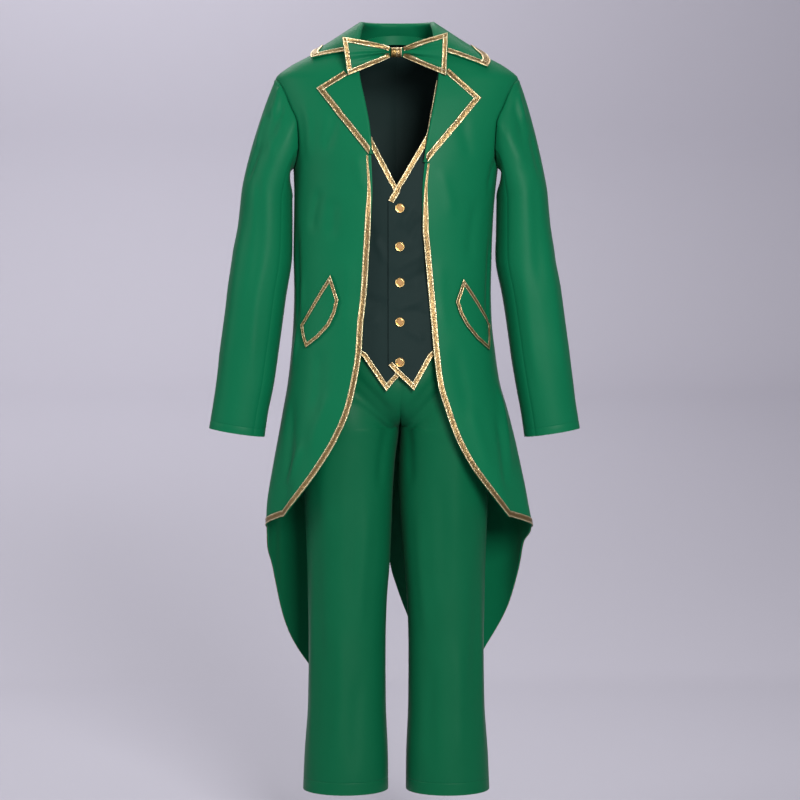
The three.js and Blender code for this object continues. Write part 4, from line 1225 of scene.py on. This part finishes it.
def lapel(name):
    surface = Surface(lapel_roll(lapel_surface(name), name), SIDES[name], 0.02, 1.0)
    heights = LAPEL[name]["z"]
    stretches = [np.linspace(a, b, n)[:-1] for a, b, n in zip(heights, heights[1:], (4, 5, 5, 30))]
    rows = np.concatenate([*stretches, heights[-1:]])[:, None]
    across = np.concatenate([np.linspace(-1, 0, 9)[:-1], np.linspace(0, 1, 19)])[None, :]
    piece = cloth("lapel_" + name + "_cloth", surface, across, rows, LAPEL_SCALE)
    finish_piece(piece, "lapel_" + name, COAT_CLOTH)


# Cross-section of the tape: share of its width, and height in shares of its thickness. Both edges are
# folded under, so they are thicker than the middle.
TAPE_SECTION = np.array(
    [(0, 0.3), (0.03, 0.72), (0.08, 1.0), (0.15, 0.98), (0.21, 0.68), (0.3, 0.56), (0.5, 0.6)]
)
TAPE_SECTION = np.concatenate([TAPE_SECTION, (TAPE_SECTION * (-1, 1) + (1, 0))[-2::-1]])

# Puckers of the tape between its edges: height, radians for each millimetre, and the angle each one
# starts at. They die out this near to the tape's ends.
PUCKERS = ((0.1, 0.9, 0.4), (0.09, 1.7, 2.1), (0.07, 0.37, 1.2))
PUCKER_END = 4
# Least value of one plus the cosine of a corner's turn, so that a sharp corner's inner point stays near
SHARPEST_MITRE = 0.35


def tape(name, surface, path, width, turn, lift, replaced, closed=False, keep=None):
    """Gold tape along a path of places on a surface, with one width or one for each place. turn is 1 or
    -1 for the side of the path that it lies on, and keep puts places back inside the piece."""
    p, q = (np.array(column, float) for column in zip(*path))
    width = np.broadcast_to(np.asarray(width, float), p.shape)
    point, normal = surface(p, q), surface.normal(p, q)
    if closed:
        step = unit(np.roll(point, -1, axis=0) - point)
        before = np.roll(step, 1, axis=0)
    else:
        step = unit(np.diff(point, axis=0))
        before = np.concatenate([step[:1], step])
        step = np.concatenate([step, step[-1:]])
    first = unit(np.cross(normal, before)) * turn
    second = unit(np.cross(normal, step)) * turn
    reach = width / np.maximum(SHARPEST_MITRE, 1 + np.sum(first * second, axis=-1))
    target = (first + second) * reach[:, None]
    along_p, along_q = surface.slopes(p, q)
    pairs = ((along_p, along_p), (along_p, along_q), (along_q, along_q))
    pp, pq, qq = (np.sum(a * b, axis=-1) for a, b in pairs)
    tp, tq = (np.sum(a * target, axis=-1) for a in (along_p, along_q))
    scale = pp * qq - pq * pq
    inner_p, inner_q = p + (tp * qq - tq * pq) / scale, q + (tq * pp - tp * pq) / scale
    if keep:
        inner_p, inner_q = keep(inner_p, inner_q)
    if closed:
        p, q, inner_p, inner_q = (np.append(v, v[:1]) for v in (p, q, inner_p, inner_q))
    across, height = TAPE_SECTION[:, :1], TAPE_SECTION[:, 1:]
    grid_p, grid_q = mix(p[None], inner_p[None], across), mix(q[None], inner_q[None], across)
    start = surface(p, q)
    length = np.concatenate([[0], np.cumsum(np.linalg.norm(np.diff(start, axis=0), axis=-1))])
    pucker = sum(
        high * np.sin(length * rate + begin + 4 * across) for high, rate, begin in PUCKERS
    )
    to_end = np.minimum(length, length[-1] - length)
    ends = np.ones_like(length) if closed else ease(to_end / PUCKER_END)
    rise = TAPE * height + pucker * ends * 4 * across * (1 - across)
    points = surface(grid_p, grid_q, lift + rise)
    uv = np.stack(np.broadcast_arrays(length[None], across * TAPE_UV), axis=-1)
    piece = grid_mesh(name, points, uv, surface.normal(grid_p, grid_q))
    if closed:
        in_edit_mode(lambda: bpy.ops.mesh.remove_doubles(threshold=1e-5))
    apply(piece, "SOLIDIFY", thickness=0.5 * TAPE * MM, offset=-1)
    finish_piece(piece, replaced, GOLD, sharp=60)
    return piece


def between(points, spacing, closed=False):
    """Points along straight lines between the given places, about this many units apart in q or p."""
    if closed:
        points = [*points, points[0]]
    path = []
    for a, b in zip(points, points[1:]):
        count = max(1, int(math.dist(a, b) / spacing))
        path += [mix(np.array(a, float), np.array(b, float), k / count) for k in range(count)]
    return path if closed else path + [np.array(points[-1], float)]


def coat_edge_trim(name):
    """The tape starts just below the lapel, and ends where the tail's tip gets narrower than it."""
    foot = LAPEL[name]["z"][-1] - 2
    heights = np.concatenate(
        [
            np.arange(foot, CUTAWAY_SIDE, -4),
            np.linspace(CUTAWAY_SIDE, COAT_HEM, 18),
            np.linspace(COAT_HEM, TAPE_FOOT, 90)[1:],
        ]
    )
    flat = ease((foot - heights) / (foot - EDGE_FLAT))
    angle = np.where(heights > COAT_HEM, edge_angle(name, heights), tail_angle(name, heights))
    angle = angle + EDGE_BACK * (1 - flat) / COAT_SCALE[0]

    def keep(p, q):
        return np.minimum(p, inner_angle(name, q) - FOOT_MARGIN), q

    piece = tape(
        "coat_edge_tape_" + name,
        FRONT_SURFACE[name],
        zip(angle, heights),
        mix(EDGE_TURNED, EDGE_TAPE, flat),
        SIDES[name],
        ON_CLOTH,
        "coat_edge_trim_" + name,
        keep=keep,
    )


def collar_trim():
    """The tape runs down both front ends of the fall, from a little past the fold, and along its edge."""
    ends = np.linspace(*COLLAR_TAPE_ENDS, 12)
    around = np.linspace(-1, 1, 161)
    path = [(-1, a) for a in ends] + [(r, COLLAR_EDGE) for r in around] + [(1, a) for a in ends[::-1]]
    piece = tape("collar_tape", COLLAR_TOP, path, COLLAR_TAPE, -1, CLOTH + ON_COLLAR, "collar_trim")


def lapel_trim(name):
    heights = LAPEL[name]["z"]
    stretches = [np.linspace(a, b, n)[:-1] for a, b, n in zip(heights[1:], heights[2:], (6, 6, 36))]
    rows = np.concatenate([*stretches, heights[-1:]])

    def keep(p, q):
        return np.maximum(p, edge_angle(name, q)), q

    piece = tape(
        "lapel_tape_" + name,
        lapel_surface(name),
        zip(lapel_outer(name, rows), rows),
        LAPEL_TAPE,
        -SIDES[name],
        ON_CLOTH,
        "lapel_trim_" + name,
        keep=keep,
    )


def pocket(name):
    """A slanting leaf-shaped flap, with tape sewn all round it."""
    surface = COAT_SURFACE[name]
    rows = np.linspace(POCKET[name]["z"][0], POCKET[name]["z"][-1], 34)[:, None]
    near = ring_angle(COAT, read_straight(POCKET[name], "near", rows), rows)
    far = ring_angle(COAT, read_straight(POCKET[name], "far", rows), rows)
    angle = mix(near, far, np.linspace(0, 1, 14)[None, :])
    flap = cloth("pocket_flap_" + name + "_cloth", surface, angle, rows, COAT_SCALE, FLAP_LIFT + CLOTH)
    finish_piece(flap, "pocket_flap_" + name, COAT_CLOTH)
    corners = [(x, z) for x, z in zip(POCKET[name]["near"], POCKET[name]["z"])]
    corners += [(x, z) for x, z in zip(POCKET[name]["far"][-2:0:-1], POCKET[name]["z"][-2:0:-1])]
    path = [(float(ring_angle(COAT, x, z)), z) for x, z in between(corners, 5, closed=True)]
    trim = tape(
        "pocket_tape_" + name,
        surface,
        path,
        POCKET_TAPE,
        SIDES[name],
        FLAP_LIFT + CLOTH + ON_CLOTH,
        "pocket_trim_" + name,
        closed=True,
    )


def vest_form(name):
    """The waistcoat inside the coat. The right front runs under the left one."""
    base = Surface(coat_form(SIDES[name]), SIDES[name])

    def form(angle, z):
        near_centre = 0 * angle
        if name == "R":
            near_centre = (VEST_UNDER_FROM - angle) / (VEST_UNDER_FROM - VEST_UNDER_TO)
        return base(angle, z, -read(VEST_INSET, "depth", z) - VEST_UNDER * ease(near_centre))

    return form


# Creases of the waistcoat, placed as the coat's are.
VEST_CREASES = {
    "R": [
        (40, -332, 15, -388, 7, 2.3, 4),
        (60, -440, 8, -452, 8, -2.5, -4),
        (70, -300, 30, -350, 9, -2.7, 4),
        (66, -505, 18, -478, 8, 2.0, 4),
    ],
    "L": [
        (30, -278, 4, -325, 6, 2.5, 4),
        (44, -300, 14, -352, 7, -2.5, 4),
        (52, -366, -16, -404, 7, 2.7, 6),
        (60, -392, 0, -432, 8, -2.5, 5),
        (48, -436, -12, -462, 7, 2.3, -5),
        (56, -478, 2, -466, 8, -2.5, 4),
        (44, -520, 6, -496, 7, 2.3, 4),
        (64, -330, 40, -450, 10, -2.3, 5),
    ],
}
VEST_SURFACE = {
    name: Surface(vest_form(name), side).creased(VEST_CREASES[name], COAT_SCALE)
    for name, side in SIDES.items()
}


def vest_armhole(z, behind=False):
    angle = ring_angle(COAT, read(VEST_ARMHOLE, "x", z), z, behind)
    return np.where((z >= VEST_SHOULDER) | (z <= VEST_ARMPIT), 90, angle)


def vest_edge(name, z):
    return ring_angle(COAT, read_straight(VEST_EDGE[name], "x", z), z)


def vest_hem(name):
    """Places of the hem's points, as angles and heights, from the front edge to the side seam."""
    points = [(float(ring_angle(COAT, x, z)), z) for x, z in VEST_HEM[name]]
    return [*points, (90, VEST_SIDE_HEM)]


def vest_rows():
    top = np.linspace(VEST_NECK, VEST_SHOULDER, 6)[:-1]
    armhole = mix(VEST_SHOULDER, VEST_ARMPIT, (1 - np.cos(np.linspace(0, np.pi, 38))) / 2)
    return np.concatenate([top, armhole, np.linspace(VEST_ARMPIT, VEST_STRAIGHT, 48)[1:]])


def vest_front(name):
    """Rows run straight across down to the waist, and then bend into the pointed hem."""
    hem = np.array(between(vest_hem(name), 4))
    shares = (hem[:, 0] - hem[0, 0]) / (hem[-1, 0] - hem[0, 0])
    rows = vest_rows()[:, None]
    angle = mix(vest_edge(name, rows), vest_armhole(rows), shares[None, :])
    down = np.linspace(0, 1, 20)[1:, None]
    angle = np.concatenate([angle, mix(angle[-1:], hem[None, :, 0], down)])
    z = np.concatenate([rows + 0 * shares, mix(rows[-1:], hem[None, :, 1], down)])
    piece = cloth("vest_front_" + name + "_cloth", VEST_SURFACE[name], angle, z, COAT_SCALE)
    finish_piece(piece, "vest_front_" + name, VEST_CLOTH)


def vest_trims(name):
    surface = VEST_SURFACE[name]
    heights = np.linspace(VEST_TAPE_TOP, VEST_EDGE[name]["z"][-1], 56)
    neck = tape(
        "vest_neck_tape_" + name,
        surface,
        zip(vest_edge(name, heights), heights),
        VEST_NECK_TAPE,
        SIDES[name],
        ON_CLOTH,
        "vest_neck_trim_" + name,
    )
    hem = tape(
        "vest_hem_tape_" + name,
        surface,
        between(vest_hem(name)[:-1], 3),
        VEST_HEM_TAPE,
        SIDES[name],
        ON_CLOTH,
        "vest_hem_trim_" + name,
    )


def vest_back(name):
    rows = np.append(vest_rows(), VEST_SIDE_HEM)[:, None]
    start = vest_armhole(rows, True)
    shares = spread(30)[None, :]
    sink = seam_sink(shares, (180 - start) * COAT_SCALE[0])
    angle = mix(start, 180, shares)
    piece = cloth("vest_back_" + name + "_cloth", VEST_SURFACE[name], angle, rows, COAT_SCALE, sink)
    finish_piece(piece, "vest_back_" + name, VEST_CLOTH)


# One button's front as it is raised from its back plate: radius and height of each ring.
BUTTON_RINGS = [
    (8.3, 0.9),
    (8.3, 2.2),
    (8.05, 3.0),
    (7.6, 3.4),
    (7.1, 3.35),
    (6.7, 2.9),
    (6.5, 1.9),
    (6.2, 1.4),
    (5.8, 1.5),
    (5.6, 2.1),
    (5.3, 2.3),
    (2.6, 2.3),
    (0.4, 2.3),
]


def button(index):
    """One button, raised ring by ring from its back plate."""
    z = BUTTON_HEIGHTS[index]
    angle = ring_angle(COAT, BUTTON_X, z)
    x, y, _ = VEST_SURFACE["L"](np.array(angle), np.array(z), BUTTON_SEAT)
    centre = Vector((x, y, z)) * MM
    bpy.ops.object.select_all(action="DESELECT")
    bpy.ops.mesh.primitive_circle_add(
        vertices=40, radius=BUTTON_PLATE * MM, fill_type="NGON", rotation=(math.pi / 2, 0, 0)
    )
    piece = bpy.context.object
    piece.name = f"button_{index + 1}"
    bpy.ops.object.transform_apply(location=False, rotation=True, scale=False)

    def raise_rings():
        radius, height = BUTTON_PLATE, 0
        for next_radius, next_height in BUTTON_RINGS:
            rise = (0, -(next_height - height) * MM, 0)
            bpy.ops.mesh.extrude_region_move(TRANSFORM_OT_translate={"value": rise})
            scale = next_radius / radius
            bpy.ops.transform.resize(value=(scale, 1, scale), center_override=(0, 0, 0))
            radius, height = next_radius, next_height

    in_edit_mode(raise_rings)
    in_edit_mode(lambda: bpy.ops.mesh.normals_make_consistent(inside=False))
    piece.location = centre
    bpy.ops.object.transform_apply(location=True, rotation=False, scale=False)
    finish_piece(piece, f"vest_button_{index + 1}", BRASS, sharp=24)


def trouser_form(name, behind):
    """Half of a trouser leg, in front or behind: t is 0 at the outer seam and 1 at the inner one."""
    side = SIDES[name]
    turn = 1 if behind else -1
    depth = "back" if behind else "front"

    def form(t, z):
        across, along = power(np.cos(t * np.pi / 2)), power(np.sin(t * np.pi / 2))
        hip_x = side * read(HIPS, "half", z) * across + read(HIPS, "lean", z) * across**2
        hip_y = turn * read(HIPS, depth, z) * along
        leg_x = side * (read(LEG, "mid", z) + read(LEG, "half", z) * np.cos(t * np.pi))
        leg_x = leg_x + LEG_LEAN * (1 - t)
        leg_y = turn * read(LEG, depth, z) * power(np.sin(t * np.pi))
        central = ease(2 * t - 1)
        top = mix(THIGH_TOP, FORK_TOP, central)
        down = np.clip((z - top) / (CROTCH - top), 0, 1)
        fork = mix(ease(down), 1 - np.sqrt(1 - down**2), central)
        x = mix(hip_x, leg_x, fork) + read(INNER, "x", z) * t**3
        return np.stack([x, mix(hip_y, leg_y, fork), z + 0 * x], axis=-1)

    return form


# Creases of the trousers, as the share of the way from the outer seam to the inner one times
# TROUSER_SCALE, and height.
TROUSER_SCALE = (240.0, 1.0)
TROUSER_CREASES = {
    "R": [
        (150, -560, 232, -660, 7, -2.7, -6),
        (120, -600, 226, -690, 9, 2.4, -8),
        (196, -640, 180, -800, 9, -3.3, 6),
        (90, -640, 84, -900, 16, 2.7, 8),
        (130, -720, 118, -1010, 13, -2.7, -6),
        (160, -800, 150, -1060, 11, 2.4, 6),
        (60, -860, 70, -1140, 14, -2.2, 6),
        (104, -1010, 96, -1290, 15, 2.7, -8),
        (150, -1100, 140, -1310, 12, -2.4, 6),
        (36, -960, 44, -1300, 11, 2.1, 5),
    ],
    "L": [
        (154, -556, 230, -652, 7, -2.5, -6),
        (124, -606, 224, -696, 9, 2.2, -8),
        (198, -650, 186, -790, 9, -3.0, 6),
        (94, -650, 92, -920, 16, 2.7, -8),
        (134, -740, 126, -1000, 13, -2.5, 6),
        (164, -790, 158, -1080, 11, 2.2, -6),
        (58, -900, 66, -1180, 14, -2.2, 6),
        (100, -1040, 104, -1300, 15, 2.5, 8),
        (146, -1090, 150, -1300, 12, -2.4, -6),
        (34, -980, 40, -1290, 11, 2.0, 5),
    ],
}


def trouser_panel(name, behind):
    facing = SIDES[name] if behind else -SIDES[name]
    creases = TROUSER_CREASES[name]
    surface = Surface(trouser_form(name, behind), facing, 0.002, 1).creased(creases, TROUSER_SCALE)
    rows = np.concatenate(
        [
            np.linspace(WAIST_SEAM, FORK_TOP, 14)[:-1],
            mix(FORK_TOP, CROTCH, np.sin(np.linspace(0, np.pi / 2, 22)))[:-1],
            np.linspace(CROTCH, TROUSER_HEM + HEM_STITCH + 4, 112),
            TROUSER_HEM + HEM_STITCH + np.arange(1.2, -1.5, -0.3),
            [TROUSER_HEM + HEM_STITCH - 4, TROUSER_HEM + 6, TROUSER_HEM],
        ]
    )[:, None]
    shares = spread(40)[None, :]
    lift = seam_sink(shares, TROUSER_SCALE[0]) + stitched(-rows, -TROUSER_HEM, HEM_STITCH)
    place = "back" if behind else "front"
    node_name = f"trouser_{place}_{name}"
    piece = cloth(node_name + "_cloth", surface, shares, rows, TROUSER_SCALE, lift)
    finish_piece(piece, node_name, TROUSER_CLOTH)


def waistband():
    """One closed strip, which rests inside the waistcoat's hem."""
    surface = Surface(lambda angle, z: ring_point(HIPS, 1, angle, z), 1)
    angle = np.linspace(0, 360, 121)[None, :]
    rows = np.linspace(WAIST_TOP, WAIST_SEAM, 9)[:, None]
    piece = cloth("waistband_cloth", surface, angle, rows, COAT_SCALE, thick=WAISTBAND, closed=True)
    finish_piece(piece, "waistband", TROUSER_CLOTH)


def wing_form(name):
    """A bow wing from the knot (p is 0) to its flared end (1), and from its bottom edge (q is 0) to
    its top. Gathers radiate from the knot."""
    side, corner = SIDES[name], BOW[name]

    def edge(which, root_z, p):
        x, z, bend = corner[which]
        root_x = KNOT_HALF + WING_GAP + side * KNOT_X
        return mix(root_x, x, p), mix(root_z, z, np.clip(p, 0, 1) ** bend)

    def form(p, q):
        top_x, top_z = edge("top", KNOT_Z + WING_HEIGHT / 2, p)
        bottom_x, bottom_z = edge("bottom", KNOT_Z - WING_HEIGHT / 2, p)
        # Three broad gathers and five finer ones, which start at the knot and fade to the wing's end.
        waves = np.cos(3 * np.pi * (2 * q - 1)) + 0.5 * np.cos(5 * np.pi * (2 * q - 0.9) + side)
        between_edges = 4 * q * (1 - q)
        gather = WING_GATHER * waves * np.clip(p / 0.12, 0, 1) * np.clip(1.1 - p, 0, 1) * between_edges
        puff = WING_PUFF * between_edges * p * (1.5 - p)
        y = WING_Y - WING_SWEEP * p - puff - gather
        return np.stack([side * mix(bottom_x, top_x, q), y, mix(bottom_z, top_z, q)], axis=-1)

    return form


WING_SCALE = (90.0, 60.0)


def bow_wing(name):
    surface = Surface(wing_form(name), SIDES[name], 0.01, 0.01)
    p, q = np.linspace(0, 1, 41)[None, :], np.linspace(0, 1, 37)[:, None]
    piece = cloth("bow_wing_" + name + "_cloth", surface, p, q, WING_SCALE, thick=WING_DEEP)
    finish_piece(piece, "bow_wing_" + name, COAT_CLOTH)
    along = np.linspace(0.02, 1, 32)
    path = [(a, 0) for a in along[:-1]]
    path += [(1, a) for a in np.linspace(0, 1, 24)]
    path += [(a, 1) for a in along[-2::-1]]
    widths = [mix(BOW_TAPE_ROOT, BOW_TAPE, min(2 * a, 1)) for a, _ in path]
    trim = tape(
        "bow_tape_" + name, surface, path, widths, SIDES[name], ON_WING, "bow_trim_" + name
    )


def bow_knot():
    """The gold tape wound round the middle of the bow."""

    def form(turn, x):
        angle = np.radians(turn)
        pinch = 1 - KNOT_PINCH * np.cos(x * 3 * np.pi)
        y = (KNOT_FRONT + KNOT_BACK) / 2 - (KNOT_BACK - KNOT_FRONT) / 2 * power(np.cos(angle)) * pinch
        z = KNOT_Z + KNOT_TALL / 2 * power(np.sin(angle)) * pinch
        return np.stack([KNOT_X + KNOT_HALF * x + 0 * y, y, z], axis=-1)

    surface = Surface(form, 1, 1, 0.01)
    turns, across = np.linspace(0, 360, 49)[None, :], np.linspace(-1, 1, 15)[:, None]
    # The tape is 0.15 mm long for each degree of its turn.
    scale = (0.15, KNOT_HALF)
    piece = cloth("bow_knot_tape", surface, turns, across, scale, thick=TAPE, closed=True)
    finish_piece(piece, "bow_knot", GOLD)


def neck_band():
    """The closed band that holds the bow at the neck."""

    def form(angle, height):
        sin, cos = np.sin(np.radians(angle)), np.cos(np.radians(angle))
        y = -np.where(cos > 0, BAND_FRONT, BAND_BACK) * cos
        z = mix(BAND_BACK_Z, BAND_FRONT_Z, (1 + cos) / 2) + height
        return np.stack([BAND_HALF * sin + 0 * z, y + 0 * z, z], axis=-1)

    surface = Surface(form, 1)
    angle = np.linspace(0, 360, 97)[None, :]
    height = np.linspace(BAND_TALL / 2, -BAND_TALL / 2, 7)[:, None]
    piece = cloth("neck_band_cloth", surface, angle, height, (1.0, 1.0), closed=True)
    finish_piece(piece, "neck_band", COAT_CLOTH)


# Camera, light and studio


def camera():
    """The photograph's view: from chest height, looking slightly down."""
    tilt = math.radians(90 - CAMERA_DOWN)
    bpy.ops.object.camera_add(location=CAMERA_PLACE, rotation=(tilt, 0, 0))
    made = bpy.context.object
    made.data.lens = CAMERA_LENS
    made.data.sensor_width = CAMERA_SENSOR
    bpy.context.scene.camera = made


def arc(start_y, start_z, radius, first, last, count):
    """Points of an arc in y and z that starts at a point and turns upwards between two slopes."""
    points = []
    for slope in np.linspace(first, last, count):
        y = start_y + radius * (math.sin(slope) - math.sin(first))
        points.append((y, start_z + radius * (math.cos(first) - math.cos(slope))))
    return points


def studio():
    """A seamless pale sheet under and behind the costume. Behind the feet it rises gently, and turns up
    to a wall far enough back to walk round the costume."""
    rise = arc(RISE_START, 0, RISE_ROUND, 0, RISE_ANGLE, 7)
    foot_y = WALL_Y - WALL_ROUND
    foot_z = rise[-1][1] + (foot_y - rise[-1][0]) * math.tan(RISE_ANGLE)
    wall = arc(foot_y, foot_z, WALL_ROUND, RISE_ANGLE, math.pi / 2, 16)
    run = [(FLOOR_FRONT, 0), *rise, *wall, (wall[-1][0], WALL_TOP)]
    rows = [[(x, y, FLOOR_Z + z) for y, z in run] for x in (-SHEET_HALF, SHEET_HALF)]
    rows = np.array(rows) / MM
    up = np.zeros(rows.shape) + (0, -1, 1)
    sheet = grid_mesh("backdrop", rows, rows[..., :2], up)
    select_only(sheet)
    bpy.ops.object.shade_smooth()
    made, tree = shader("backdrop paper")
    place = node(tree, "ShaderNodeTexCoord")
    grain = node(tree, "ShaderNodeTexNoise", {"Vector": place.outputs["Object"], "Scale": 3})
    bump = node(tree, "ShaderNodeBump", {"Height": grain.outputs["Fac"], "Strength": 0.05})
    paper = node(
        tree,
        "ShaderNodeBsdfPrincipled",
        {"Base Color": colour("B6B3BE"), "Roughness": 0.9, "Normal": bump.outputs["Normal"]},
    )
    node(tree, "ShaderNodeOutputMaterial", {"Surface": paper.outputs["BSDF"]})
    sheet.data.materials.append(made)


def light(name, place, aim, size, watts):
    """A large, soft, white light."""
    bpy.ops.object.light_add(type="AREA", location=place)
    made = bpy.context.object
    made.name = name
    made.data.shape = "RECTANGLE"
    made.data.size, made.data.size_y = size
    made.data.energy = watts
    made.rotation_euler = (Vector(aim) - Vector(place)).to_track_quat("-Z", "Y").to_euler()


def lights():
    for row in LIGHTS:
        light(*row)
    scene = bpy.context.scene
    scene.view_settings.view_transform = "Standard"
    world = bpy.data.worlds.new("studio air")
    scene.world = world
    world.use_nodes = True
    background = world.node_tree.nodes["Background"]
    background.inputs["Color"].default_value = colour(AIR_COLOUR)
    background.inputs["Strength"].default_value = AIR_STRENGTH


camera()
studio()
lights()
for side_name in SIDES:
    coat_front(side_name)
    coat_back(side_name)
    sleeve(side_name)
    lapel(side_name)
    coat_edge_trim(side_name)
    lapel_trim(side_name)
    pocket(side_name)
    vest_front(side_name)
    vest_trims(side_name)
    vest_back(side_name)
    trouser_panel(side_name, False)
    trouser_panel(side_name, True)
    bow_wing(side_name)
collar()
collar_trim()
for number in range(len(BUTTON_HEIGHTS)):
    button(number)
waistband()
bow_knot()
neck_band()
